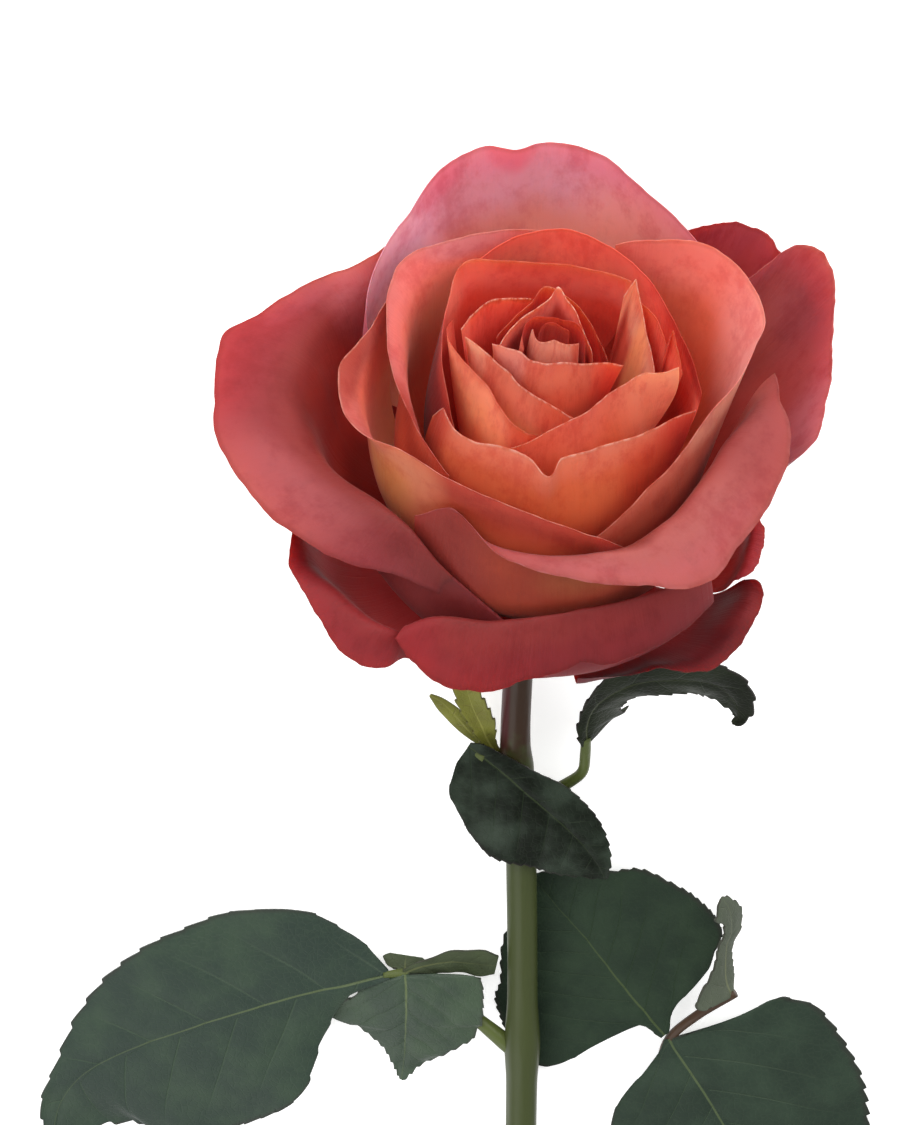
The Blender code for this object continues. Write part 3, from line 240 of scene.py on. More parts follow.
BLADES = [
    Blade("leaf_left.terminal", [
        (-26.2, -101.6, 5.8, 0.7, 0.7), (-29.0, -102.2, 6.1, 1.2, 7.0), (-34.7, -103.6, 6.6, 3.0, 14.0),
        (-39.0, -104.4, 6.9, 8.6, 16.6), (-42.6, -105.2, 7.1, 13.4, 18.0),
        (-49.1, -107.3, 7.2, 20.6, 19.5), (-56.3, -109.8, 7.0, 22.8, 18.9),
        (-63.5, -112.8, 6.4, 23.2, 18.2), (-70.7, -116.1, 5.4, 22.8, 15.2),
        (-77.9, -120.2, 4.2, 21.2, 10.0), (-83.6, -125.0, 3.0, 17.4, 4.9),
        (-87.0, -131.0, 1.7, 11.4, 3.4), (-88.8, -140.6, 0.6, 0.3, 0.3)],
        19, 0.0, 0.08, 0.5, 7, (56, 210), "matte"),
    Blade("leaf_left.drooping", [
        (-23.2, -101.2, 6.4, 0.8, 0.8), (-23.1, -102.4, 6.9, 13.6, 5.4),
        (-23.0, -106.2, 7.0, 14.0, 9.6), (-23.0, -109.5, 6.6, 13.9, 13.2),
        (-23.1, -111.9, 6.1, 13.4, 14.4), (-23.1, -113.2, 5.8, 12.8, 10.2),
        (-23.2, -115.0, 5.2, 11.6, 7.2), (-23.3, -118.4, 4.2, 7.2, 3.9),
        (-23.5, -121.2, 3.2, 3.4, 2.1), (-23.9, -125.4, 2.2, 0.3, 0.3)],
        15, 6.0, 0.10, 0.3, 5, (48, 120), "satin"),
    Blade("leaf_left.inner", [
        (-23.4, -100.9, 6.2, 0.7, 0.7), (-20.4, -99.7, 6.2, 1.0, 2.2),
        (-17.6, -99.1, 6.0, 1.6, 2.5), (-14.8, -98.9, 5.7, 2.4, 2.5),
        (-11.9, -99.4, 5.2, 3.0, 2.5), (-9.1, -100.0, 4.7, 3.1, 2.8),
        (-6.4, -100.4, 4.3, 2.3, 2.3)],
        0, 12.0, 0.05, 0.2, 5, (20, 64), "pale"),
    Blade("leaf_left.behind", [
        (-23.4, -101.6, 5.2, 0.8, 0.8), (-23.2, -100.9, 4.7, 2.2, 1.6),
        (-23.2, -100.2, 4.3, 3.4, 2.8), (-23.1, -99.4, 3.8, 4.2, 4.0),
        (-23.0, -98.8, 3.4, 3.0, 3.0)],
        0, 0.0, 0.05, 0.0, 3, (20, 30), "pale"),
    Blade("leaf_right.upper", [
        (24.6, -114.2, 5.8, 0.8, 0.8), (21.9, -111.0, 5.4, 2.4, 7.6), (20.8, -109.6, 5.2, 14.0, 15.8),
        (19.4, -108.0, 4.8, 22.2, 20.6), (16.9, -105.0, 4.0, 24.2, 22.8), (12.1, -98.7, 2.8, 22.8, 22.2),
        (9.2, -94.9, 2.2, 20.2, 19.4), (5.9, -91.2, 1.6, 15.2, 15.2), (2.7, -87.2, 1.0, 8.0, 7.4),
        (-0.2, -83.6, 0.5, 0.3, 0.3)], 24, -7.0, 0.0, 0.3, 7, (60, 180), "deep"),
    Blade("leaf_right.lower", [
        (25.4, -115.2, 5.4, 0.8, 0.8), (26.2, -117.0, 5.4, 15.6, 2.8), (28.4, -120.6, 5.6, 23.6, 14.0),
        (31.4, -125.4, 6.0, 26.6, 19.6), (35.0, -132.0, 6.0, 27.0, 21.2), (40.0, -142.6, 5.2, 24.2, 20.6),
        (44.4, -152.4, 3.6, 19.2, 16.2), (48.0, -162.0, 2.0, 11.0, 9.6), (51.8, -171.8, 0.6, 0.3, 0.3)],
        22, 0.0, 0.08, 0.5, 8, (60, 200), "mid"),
    Blade("leaf_right.folded", [
        (36.7, -104.5, 8.4, 0.7, 0.7), (35.8, -101.6, 9.1, 8.0, 2.4),
        (35.5, -98.5, 9.8, 4.2, 2.2), (35.5, -95.5, 10.5, 2.4, 1.8),
        (35.7, -92.4, 11.2, 2.0, 2.4), (36.5, -89.5, 11.8, 1.7, 3.0),
        (36.5, -86.8, 12.5, 1.8, 3.2), (36.0, -84.0, 13.1, 3.6, 2.0),
        (34.7, -81.4, 13.6, 0.4, 0.4)],
        12, 50.0, 0.1, 0.0, 5, (20, 84), "underside"),
    Blade("leaf_front.blade", [
        (-11.6, -52.3, 9.4, 0.8, 4.2), (-10.6, -52.9, 9.8, 1.6, 8.6),
        (-7.9, -54.7, 10.9, 2.4, 11.1), (-4.6, -57.1, 12.0, 3.4, 12.6),
        (-1.5, -59.9, 12.7, 4.6, 13.6), (1.6, -62.8, 12.9, 5.7, 14.1),
        (4.6, -65.8, 12.8, 5.9, 12.8), (7.4, -68.9, 12.4, 5.5, 10.6),
        (9.9, -72.3, 11.7, 4.3, 8.6), (11.9, -75.8, 10.7, 2.7, 5.6),
        (13.5, -79.6, 9.6, 0.3, 0.3)],
        18, 0.0, 0.07, 0.2, 6, (48, 140), "painted_gloss"),
    Blade("leaf_arching.blade", [
        (9.8, -50.4, 12.2, 1.0, 1.4), (9.9, -48.7, 13.2, 1.4, 4.0),
        (9.8, -46.6, 14.2, 1.5, 9.0), (10.1, -44.4, 15.0, 1.5, 6.6),
        (11.5, -40.4, 16.7, 2.2, 5.4), (14.8, -37.0, 18.0, 4.2, 4.6),
        (19.0, -34.8, 18.5, 6.4, 4.7), (24.1, -34.0, 18.8, 6.4, 4.6),
        (29.3, -34.2, 18.6, 5.8, 4.8), (34.0, -36.0, 17.7, 5.0, 5.0),
        (36.7, -39.9, 16.0, 3.6, 2.8), (37.6, -43.4, 14.6, 1.5, 1.0),
        (36.4, -45.2, 13.8, 0.3, 0.3)],
        15, 30.0, 0.1, 0.3, 6, (36, 130), "arch"),
    Blade("bract_slender", [
        (-5.4, -56.4, 4.8, 0.8, 0.8), (-7.9, -54.6, 4.9, 0.7, 0.7), (-9.9, -52.6, 6.0, 0.9, 1.0),
        (-11.8, -49.8, 7.4, 1.4, 1.5), (-13.5, -46.8, 9.0, 1.7, 1.5),
        (-15.2, -44.0, 10.4, 1.7, 1.1), (-17.0, -41.6, 11.6, 1.2, 0.6),
        (-18.5, -40.4, 12.2, 0.3, 0.3)],
        0, 0.0, 0.15, 0.0, 3, (12, 36), "bract"),
    Blade("bract_broad", [
        (-5.2, -56.8, 6.0, 1.0, 1.0), (-7.2, -54.2, 6.3, 0.9, 0.9), (-8.3, -51.6, 7.4, 1.2, 1.6),
        (-9.2, -48.4, 8.8, 1.6, 2.4), (-10.4, -45.0, 10.2, 1.9, 2.6),
        (-11.3, -41.6, 11.6, 2.2, 2.2), (-12.0, -38.4, 12.9, 2.0, 1.8),
        (-12.8, -34.6, 14.2, 0.5, 0.5)],
        8, 0.0, -0.25, 0.0, 4, (16, 60), "bract"),
]

# A leaf's teeth: how far they stand out, as a share of their spacing, and how far they point ahead;
# the share of a tooth's length where it rises and where it drops back; the band along the edge that
# they take up; how soon they fade at the leaf's ends; and how far the right side's teeth are shifted
TOOTH_DEPTH = 0.17
TOOTH_DEPTHS = {"leaf_left.terminal": 0.07, "leaf_right.lower": 0.21, "leaf_front.blade": 0.1}
TOOTH_POINT = 0.22
TOOTH_RISE = 0.78
TOOTH_DROP = 0.22
TOOTH_BAND = 0.1
TOOTH_POWER = 1.5
TOOTH_FADE = 9.0
TOOTH_SHIFT = 0.37
# A leaf's side veins: how far they slant and bend towards the tip, and how far the right ones are shifted
VEIN_SLANT = 0.75
VEIN_BEND = 0.12
VEIN_SHIFT = 0.45
# How far the leaf bulges between its side veins, the width of the valley along a vein, as a share of
# the veins' spacing, and the half width of a leaf that bulges fully
BULGE = 0.18
VALLEY = 0.22
BULGE_HALF = 12.0
# The groove over a leaf's midrib: its depth, its width, and the half width of a leaf with a full groove
GROOVE_DEPTH = 0.22
GROOVE_WIDTH = 0.8
GROOVE_HALF = 6.0
# How often a leaf's sides wave up and down, in radians along it and across it
LEAF_WAVES = 19.0
LEAF_WAVE_TURN = 2.0
# The least half width of a leaf, in mm
LEAST_HALF = 0.3

# Stalks, as (x, y, z, radius) in the same frame as the blades, and in how many rings they are built
Stalk = namedtuple("Stalk", "name stations rings finish")
STALKS = [
    Stalk("leaf_left.petiole", [
        (-2.6, -117.8, 5.6, 1.7), (-5.2, -115.4, 5.5, 1.6), (-9.6, -111.6, 5.0, 1.3),
        (-16.4, -105.4, 5.0, 1.0), (-23.2, -101.4, 5.6, 0.9), (-27.2, -101.6, 5.8, 0.6)],
        60, "petiole"),
    Stalk("leaf_right.petiole", [
        (0.6, -167.4, 4.8, 1.8), (3.7, -164.0, 4.4, 1.7), (8.6, -155.0, 3.0, 1.2), (16.4, -141.0, 1.4, 1.0),
        (23.4, -125.0, 1.6, 0.9), (25.6, -115.4, 4.6, 0.9), (30.4, -109.6, 6.8, 0.9),
        (37.4, -104.2, 8.0, 0.9)], 100, "rachis"),
    Stalk("leaf_front.stalk", [
        (-4.8, -58.2, 6.4, 1.1), (-7.5, -56.8, 6.6, 1.1), (-9.0, -55.0, 7.6, 1.0), (-10.2, -53.9, 9.0, 0.9),
        (-8.6, -54.4, 10.3, 0.8)], 36, "petiole"),
    Stalk("leaf_arching.stalk", [
        (-0.8, -65.6, 6.2, 1.3), (2.0, -64.2, 6.4, 1.3), (6.2, -61.2, 7.4, 1.1),
        (9.2, -57.6, 9.2, 1.0), (9.7, -53.2, 10.6, 1.0), (9.8, -48.8, 12.8, 0.9)],
        50, "petiole"),
]

# The stem's centre line below the hip, as (x, y, z, radius); it ends in a plain cut
PEDUNCLE = [
    (-1.7, -25.0, 12.2, 2.7), (-2.7, -41.0, 8.8, 2.7), (-3.0, -53.0, 7.4, 2.8), (-2.8, -57.5, 7.2, 3.2),
    (-2.3, -63.0, 7.0, 2.8), (-1.8, -82.0, 6.7, 2.8), (-1.6, -106.0, 6.3, 2.8), (-1.6, -116.0, 6.1, 3.3),
    (-1.7, -124.0, 5.9, 2.9), (-1.9, -150.0, 5.3, 3.0), (-1.9, -166.0, 4.9, 3.3),
    (-2.0, -176.0, 4.6, 3.0), (-2.3, -225.2, 3.0, 3.15)]
# The hip on the bloom's axis, as (height, radius), from the neck up to the calyx under the petals
HIP = [(-15.5, 2.7), (-13.0, 3.3), (-11.0, 5.2), (-8.4, HIP_RADIUS), (-6.0, 6.4), (-4.6, 6.0), (-3.7, 7.6),
       (-2.8, 10.2), (-2.1, CALYX_RADIUS)]
# The heights of the rings on the dome that the petals stand on
DOME_HEIGHTS = (-1.5, -0.7, 0.4, 1.6, 2.7, 3.7, 4.5, 5.0)
# The rings along the hip and the stem, and the sides round the stem and the stalks
HIP_RINGS = 72
STEM_RINGS = 240
STEM_SIDES = 48
STALK_SIDES = 24
# How far the stem's low ridges stand out, as a share of its radius
STEM_RIDGE = 0.012

SEPAL_AZIMUTHS = (18.0, 90.0, 162.0, 234.0, 306.0)
# A sepal's course beside the hip, as (radius, height, half width)
SEPAL_COURSE = [(6.8, -5.4, 2.2), (10.2, -6.2, 3.2), (13.0, -8.6, 3.0), (14.8, -12.6, 2.0),
                (15.2, -18.0, 0.5)]
# A sepal's mesh, its uneven edge and its wavy sides, with how often they repeat along it in radians
SEPAL_MESH = (24, 48)
SEPAL_LOBE = 0.10
SEPAL_LOBES = 26.0
SEPAL_WAVE = 0.25
SEPAL_WAVES = 15.0
# How far a sepal is bent round its middle, as a share of its half width, and its rib, in mm
SEPAL_CUP = 0.12
SEPAL_RIB = 0.18
SEPAL_RIB_HALF = 0.35
# A sepal's side veins: how many, how far they slant, and where the first one starts
SEPAL_VEINS = 4.0
SEPAL_VEIN_SLANT = 0.8
SEPAL_VEIN_START = 0.3


# Finishes

def paint(red, green, blue):
    """A colour as it looks on a screen, from 0 to 255, as the linear colour that a shader takes."""
    linear = [x / 12.92 if x <= 0.04045 else ((x + 0.055) / 1.055) ** 2.4
              for x in (red / 255, green / 255, blue / 255)]
    return (*linear, 1.0)


BLACK = (0.0, 0.0, 0.0, 1.0)
WHITE = (1.0, 1.0, 1.0, 1.0)


class Finish:
    """A node material being put together. The methods that return an output add a node for it."""

    def __init__(self, name):
        self.material = bpy.data.materials.new(name)
        self.material.use_nodes = True
        self.tree = self.material.node_tree
        self.shader = self.tree.nodes["Principled BSDF"]

    def feed(self, socket, value):
        """Links a socket to another node's output, or sets it to a number or a colour."""
        if isinstance(value, bpy.types.NodeSocket):
            self.tree.links.new(value, socket)
        else:
            socket.default_value = value

    def node(self, kind, inputs=(), **settings):
        """A new node with these settings, and with inputs fed from (socket, value) pairs."""
        node = self.tree.nodes.new(f"ShaderNode{kind}")
        for name, value in settings.items():
            setattr(node, name, value)
        for socket, value in inputs:
            self.feed(node.inputs[socket], value)
        return node

    def math(self, operation, first, second=0.0, third=0.0):
        return self.node("Math", enumerate((first, second, third)), operation=operation).outputs[0]

    def times(self, first, second):
        return self.math("MULTIPLY", first, second)

    def from_middle(self, value, middle):
        """How far a value is from the middle, on either side."""
        return self.math("ABSOLUTE", self.math("SUBTRACT", value, middle))

    def between(self, value, low, high, start=0.0, end=1.0):
        """The value's smooth course from start, where it is low, to end, where it is high."""
        inputs = enumerate((value, low, high, start, end))
        return self.node("MapRange", inputs, interpolation_type="SMOOTHSTEP").outputs[0]

    def mix(self, share, first, second, blend="MIX"):
        inputs = ((0, share), (6, first), (7, second))
        return self.node("Mix", inputs, data_type="RGBA", blend_type=blend).outputs[2]

    def ramp(self, share, stops):
        node = self.node("ValToRGB", [(0, share)])
        node.color_ramp.interpolation = "EASE"
        elements = node.color_ramp.elements
        while len(elements) < len(stops):
            elements.new(0.5)
        for element, (position, colour) in zip(elements, stops):
            element.position = position
            element.color = colour
        return node.outputs[0]

    def darkened(self, colour, light):
        """The colour, darker where the light value is low."""
        return self.mix(1.0, colour, self.ramp(light, [(0.0, BLACK), (1.0, WHITE)]), "MULTIPLY")

    def uv(self, layer):
        return self.node("UVMap", uv_map=layer).outputs[0]

    def parts(self, vector):
        return self.node("SeparateXYZ", [(0, vector)]).outputs

    def place(self):
        return self.node("TexCoord").outputs["Object"]

    def noise(self, vector, scale, detail=3.0, roughness=0.55):
        inputs = (("Vector", vector), ("Scale", scale), ("Detail", detail), ("Roughness", roughness))
        return self.node("TexNoise", inputs).outputs[0]

    def drawn_out(self, vector, across, along, detail=3.0, roughness=0.55):
        """Noise with a scale of its own across a piece and another along it, for streaks."""
        drawn = self.node("Mapping", (("Vector", vector), ("Scale", (across, along, 1.0)))).outputs[0]
        return self.noise(drawn, 1.0, detail, roughness)

    def cells(self, vector, scale):
        """The distance to the nearest cell wall, as in the net of veins of a leaf."""
        inputs = (("Vector", vector), ("Scale", scale))
        return self.node("TexVoronoi", inputs, feature="DISTANCE_TO_EDGE").outputs[0]

    def bump(self, height, distance, strength):
        inputs = (("Strength", strength), ("Distance", distance), ("Height", height))
        return self.node("Bump", inputs).outputs[0]

    def set(self, **values):
        """Feeds the shader's sockets by their names and returns the finished material."""
        for name, value in values.items():
            self.feed(self.shader.inputs[name.replace("_", " ").title().replace("Ior", "IOR")], value)
        return self.material


# The colours of one face of a petal: stops from its foot to its rim as (height, red, green, blue),
# tints, and the colour and the share of the painted highlight along the rim
Skin = namedtuple("Skin", "stops tints edge pale", defaults=((), None, 0.0))
# A tint is a soft spot of another colour: its place along the rim and up the petal, how wide and how
# high it reaches, and its share
Tint = namedtuple("Tint", "along up wide high colour share")

# Colours of the painted highlight along a petal's rim
CORAL_RIM_HIGHLIGHT = (236, 170, 156)
WHITE_RIM_HIGHLIGHT = (250, 214, 200)
ROSE_RIM_HIGHLIGHT = (214, 140, 146)
# The light that the darkest streaks of a petal keep
LEAST_LIGHT = 0.77
# What the blotches of a petal, and the painted shade on its rim, multiply its colour by, red, green and blue
MOTTLE = (0.78, 0.50, 0.54, 1.0)
PAINTED_RIM_SHADE = (0.70, 0.55, 0.55, 1.0)

# The petals' inner faces, by the petal's own name or else by its kind. Most darken towards the foot, deep in
# the bloom: painted shade over the petals' own red.
INNER_FACES = {
    "heart": Skin([(0.0, 180, 50, 40), (0.85, 205, 68, 56), (1.0, 170, 48, 38)]),
    "petal_heart_5": Skin(
        [(0.0, 170, 42, 34), (0.86, 190, 60, 50), (0.94, 232, 116, 102),
         (1.0, 210, 92, 78)], edge=WHITE_RIM_HIGHLIGHT, pale=0.45),
    "petal_heart_6": Skin(
        [(0.0, 180, 50, 40), (0.85, 215, 80, 66), (1.0, 176, 54, 42)],
        [Tint(1.0, 1.0, 0.16, 0.12, (110, 20, 14), 0.9),
         Tint(0.0, 1.0, 0.12, 0.1, (140, 34, 26), 0.8)], CORAL_RIM_HIGHLIGHT, 0.15),
    "inner": Skin(
        [(0.0, 150, 30, 20), (0.55, 176, 44, 32), (0.76, 212, 66, 48), (0.88, 236, 98, 76),
         (1.0, 206, 78, 60)]),
    "petal_inner_2": Skin(
        [(0.0, 190, 52, 40), (0.75, 205, 62, 48), (0.9, 226, 88, 72), (0.97, 222, 82, 66),
         (1.0, 180, 52, 40)],
        [Tint(0.0, 0.97, 0.14, 0.1, (230, 104, 88), 0.9)], WHITE_RIM_HIGHLIGHT, 0.3),
    "petal_inner_3": Skin(
        [(0.0, 150, 40, 30), (0.6, 195, 66, 48), (0.78, 205, 85, 65), (0.9, 232, 148, 118),
         (1.0, 214, 112, 90)],
        [Tint(0.62, 0.78, 0.2, 0.3, (252, 152, 104), 0.95),
         Tint(0.1, 0.72, 0.2, 0.22, (140, 42, 34), 0.6)], WHITE_RIM_HIGHLIGHT, 0.25),
    "petal_inner_7": Skin(
        [(0.0, 170, 45, 32), (0.65, 190, 55, 42), (0.78, 222, 74, 56), (0.9, 228, 104, 90),
         (1.0, 206, 82, 70)],
        [Tint(0.08, 1.0, 0.14, 0.2, (158, 50, 36), 0.8),
         Tint(0.4, 0.88, 0.1, 0.2, (245, 135, 112), 0.7)], CORAL_RIM_HIGHLIGHT, 0.1),
    "cup": Skin(
        [(0.0, 150, 35, 30), (0.6, 190, 60, 45), (0.75, 244, 84, 64), (0.88, 254, 112, 92),
         (1.0, 232, 96, 82)],
        [Tint(0.92, 1.0, 0.3, 0.09, (162, 50, 36), 0.9)]),
    "petal_cup_2": Skin(
        [(0.0, 205, 60, 45), (0.5, 225, 85, 62), (0.7, 240, 125, 95), (0.82, 230, 114, 94),
         (0.92, 204, 102, 94), (1.0, 186, 94, 90)],
        [Tint(0.86, 0.98, 0.18, 0.12, (155, 52, 36), 0.9),
         Tint(0.2, 0.98, 0.14, 0.1, (182, 112, 116), 0.8)], CORAL_RIM_HIGHLIGHT, 0.15),
    "petal_cup_3": Skin(
        [(0.0, 230, 120, 80), (0.6, 240, 140, 105), (0.8, 222, 108, 84), (0.92, 180, 92, 82),
         (1.0, 168, 88, 80)],
        [Tint(0.2, 0.97, 0.09, 0.1, (140, 50, 38), 0.8)], CORAL_RIM_HIGHLIGHT, 0.25),
    "petal_cup_4": Skin(
        [(0.0, 200, 70, 45), (0.6, 198, 82, 56), (0.75, 206, 94, 68), (0.88, 216, 114, 100),
         (1.0, 206, 110, 102)],
        [Tint(0.42, 0.9, 0.16, 0.28, (214, 138, 130), 0.9),
         Tint(0.86, 1.0, 0.25, 0.12, (160, 68, 50), 0.9)], CORAL_RIM_HIGHLIGHT, 0.1),
    "rolled": Skin(
        [(0.0, 190, 80, 60), (0.6, 196, 82, 68), (0.76, 130, 52, 46), (0.86, 146, 74, 70),
         (0.95, 148, 73, 73), (1.0, 138, 66, 66)],
        [Tint(0.0, 0.75, 0.12, 0.25, (206, 104, 92), 0.9), Tint(1.0, 1.0, 0.1, 0.1, (134, 46, 40), 0.8),
         Tint(0.17, 0.93, 0.15, 0.2, (128, 52, 50), 0.8),
         Tint(0.6, 0.78, 0.12, 0.07, (100, 32, 22), 0.7)], ROSE_RIM_HIGHLIGHT, 0.1),
    "back": Skin(
        [(0.0, 215, 110, 80), (0.6, 226, 128, 104), (0.76, 186, 114, 104), (0.88, 188, 128, 140),
         (1.0, 182, 112, 132)],
        [Tint(0.2, 0.9, 0.17, 0.24, (222, 172, 196), 0.85),
         Tint(0.2, 0.7, 0.2, 0.16, (232, 160, 170), 0.8), Tint(0.5, 0.99, 0.05, 0.07, (188, 92, 112), 0.8),
         Tint(0.34, 0.97, 0.07, 0.06, (196, 104, 128), 0.6),
         Tint(0.82, 0.8, 0.2, 0.2, (208, 134, 120), 0.8)]),
    "guard": Skin(
        # The near-black foot is painted shade, where the petal goes down between the others
        [(0.0, 60, 14, 12), (0.36, 104, 28, 20), (0.48, 152, 46, 35), (0.62, 152, 54, 46),
         (0.77, 114, 40, 37), (0.9, 114, 38, 40), (1.0, 120, 44, 50)],
        [Tint(0.04, 0.85, 0.15, 0.3, (170, 98, 102), 0.9),
         Tint(0.6, 0.93, 0.16, 0.12, (138, 66, 68), 0.85),
         Tint(0.22, 0.96, 0.07, 0.06, (132, 64, 72), 0.7), Tint(0.95, 0.8, 0.2, 0.4, (100, 28, 25), 0.9),
         Tint(0.33, 0.97, 0.14, 0.16, (134, 34, 42), 0.5)]),
    "guard_dark": Skin(
        [(0.0, 110, 30, 22), (0.5, 140, 36, 30), (0.68, 164, 52, 48), (0.85, 152, 50, 52),
         (1.0, 132, 46, 56)]),
    "petal_guard_right": Skin(
        [(0.0, 110, 30, 22), (0.5, 122, 36, 28), (0.68, 150, 60, 54), (0.85, 148, 62, 62),
         (1.0, 144, 64, 72)],
        [Tint(0.88, 0.94, 0.26, 0.3, (174, 100, 108), 0.9),
         Tint(0.4, 0.95, 0.14, 0.2, (132, 50, 56), 0.7)], ROSE_RIM_HIGHLIGHT, 0.15),
    "low": Skin(
        [(0.0, 100, 28, 26), (0.7, 106, 31, 29), (0.86, 118, 33, 33), (0.95, 110, 27, 31),
         (1.0, 98, 23, 28)],
        [Tint(0.04, 0.95, 0.12, 0.2, (122, 26, 31), 0.8), Tint(0.45, 0.8, 0.2, 0.12, (116, 36, 34), 0.7)]),
    "petal_low_left": Skin(
        [(0.0, 112, 30, 29), (0.5, 140, 48, 48), (0.7, 136, 45, 45), (0.85, 112, 29, 31),
         (1.0, 100, 29, 35)],
        [Tint(0.22, 0.75, 0.2, 0.2, (172, 74, 76), 0.8)]),
    "low_deep": Skin(
        [(0.0, 136, 46, 44), (0.5, 110, 31, 34), (0.75, 86, 21, 25), (0.9, 66, 13, 17), (1.0, 56, 11, 15)],
        [Tint(0.82, 0.82, 0.16, 0.2, (104, 34, 36), 0.8)]),
}
# The petals' outer faces, by the petal's own name or else by its kind
OUTER_FACES = {
    "heart": Skin([(0.0, 200, 90, 66), (0.85, 206, 92, 70), (1.0, 196, 88, 72)]),
    "petal_heart_1": Skin(
        [(0.0, 200, 90, 66), (0.85, 205, 104, 82), (0.95, 214, 118, 98), (1.0, 196, 106, 90)],
        [Tint(0.96, 0.94, 0.14, 0.2, (190, 64, 44), 0.8)], CORAL_RIM_HIGHLIGHT, 0.3),
    "petal_heart_4": Skin(
        [(0.0, 225, 90, 62), (0.8, 216, 88, 62), (0.92, 206, 96, 72), (1.0, 192, 84, 68)],
        [Tint(0.15, 0.92, 0.16, 0.16, (214, 130, 118), 0.6),
         Tint(0.95, 0.9, 0.22, 0.3, (218, 68, 48), 0.9)], WHITE_RIM_HIGHLIGHT, 0.3),
    "inner": Skin(
        [(0.0, 230, 96, 60), (0.7, 236, 108, 68), (0.85, 246, 140, 98), (0.94, 236, 130, 98),
         (1.0, 206, 100, 76)],
        [Tint(0.88, 0.94, 0.17, 0.3, (200, 76, 54), 0.85)], CORAL_RIM_HIGHLIGHT, 0.1),
    "petal_inner_1": Skin(
        [(0.0, 235, 120, 80), (0.8, 238, 130, 92), (0.9, 222, 112, 86), (1.0, 200, 98, 76)],
        [Tint(0.9, 0.92, 0.2, 0.3, (200, 80, 56), 0.8),
         Tint(0.18, 0.9, 0.12, 0.2, (240, 160, 132), 0.6)], WHITE_RIM_HIGHLIGHT, 0.3),
    "petal_inner_5": Skin(
        [(0.0, 214, 90, 58), (0.7, 205, 92, 60), (0.9, 210, 100, 76), (1.0, 202, 90, 74)],
        [Tint(0.97, 0.8, 0.36, 0.42, (242, 142, 110), 0.95),
         Tint(0.1, 0.85, 0.22, 0.4, (206, 84, 58), 0.5)], WHITE_RIM_HIGHLIGHT, 0.3),
    "petal_inner_7": Skin(
        [(0.0, 112, 30, 24), (0.9, 98, 23, 20), (1.0, 135, 40, 30)], edge=CORAL_RIM_HIGHLIGHT, pale=0.1),
    "petal_inner_8": Skin(
        [(0.0, 195, 72, 42), (0.72, 193, 82, 50), (0.86, 189, 86, 53), (0.94, 189, 93, 68),
         (1.0, 184, 95, 76)],
        [Tint(0.96, 0.88, 0.15, 0.4, (176, 48, 34), 0.9), Tint(0.04, 0.92, 0.1, 0.2, (150, 40, 28), 0.8),
         Tint(0.8, 0.8, 0.12, 0.2, (178, 56, 34), 0.7),
         Tint(0.5, 0.78, 0.2, 0.12, (206, 98, 56), 0.5)], WHITE_RIM_HIGHLIGHT, 0.25),
    "cup": Skin(
        [(0.0, 190, 90, 50), (0.6, 200, 80, 50), (0.78, 155, 52, 32), (0.92, 188, 78, 52),
         (1.0, 172, 68, 46)]),
    "petal_cup_3": Skin(
        [(0.0, 190, 90, 55), (0.6, 172, 78, 50), (0.75, 162, 64, 39), (0.88, 137, 42, 26),
         (1.0, 146, 50, 34)],
        [Tint(0.42, 0.86, 0.13, 0.3, (184, 110, 80), 0.95),
         Tint(0.4, 0.72, 0.1, 0.16, (188, 112, 62), 0.9),
         Tint(0.96, 0.95, 0.1, 0.2, (196, 72, 60), 0.9)], CORAL_RIM_HIGHLIGHT, 0.1),
    "petal_cup_4": Skin(
        [(0.0, 200, 100, 60), (0.6, 160, 62, 42), (0.78, 148, 50, 32), (0.9, 150, 62, 44),
         (1.0, 165, 80, 62)],
        [Tint(0.6, 0.98, 0.12, 0.1, (176, 110, 90), 0.85)], CORAL_RIM_HIGHLIGHT, 0.25),
    "rolled": Skin(
        [(0.0, 150, 60, 40), (0.5, 156, 64, 48), (0.68, 128, 41, 22), (0.82, 144, 51, 29),
         (0.95, 150, 56, 38), (1.0, 138, 48, 42)],
        [Tint(0.96, 0.85, 0.14, 0.5, (114, 34, 29), 0.9),
         Tint(0.62, 0.72, 0.14, 0.12, (150, 78, 42), 0.7)], ROSE_RIM_HIGHLIGHT, 0.1),
    "back": Skin([(0.0, 196, 120, 76), (0.5, 170, 78, 76), (1.0, 160, 66, 78)]),
    "guard": Skin(
        [(0.0, 150, 60, 50), (0.5, 122, 44, 44), (0.7, 98, 26, 26),
         (1.0, 104, 30, 34)], edge=ROSE_RIM_HIGHLIGHT, pale=0.1),
    "guard_dark": Skin([(0.0, 150, 80, 50), (0.45, 116, 36, 40), (1.0, 112, 32, 42)]),
    "low": Skin([(0.0, 150, 80, 50), (0.45, 112, 34, 38), (1.0, 108, 30, 38)]),
    "low_deep": Skin([(0.0, 124, 62, 42), (0.45, 92, 24, 30), (1.0, 86, 22, 28)]),
}


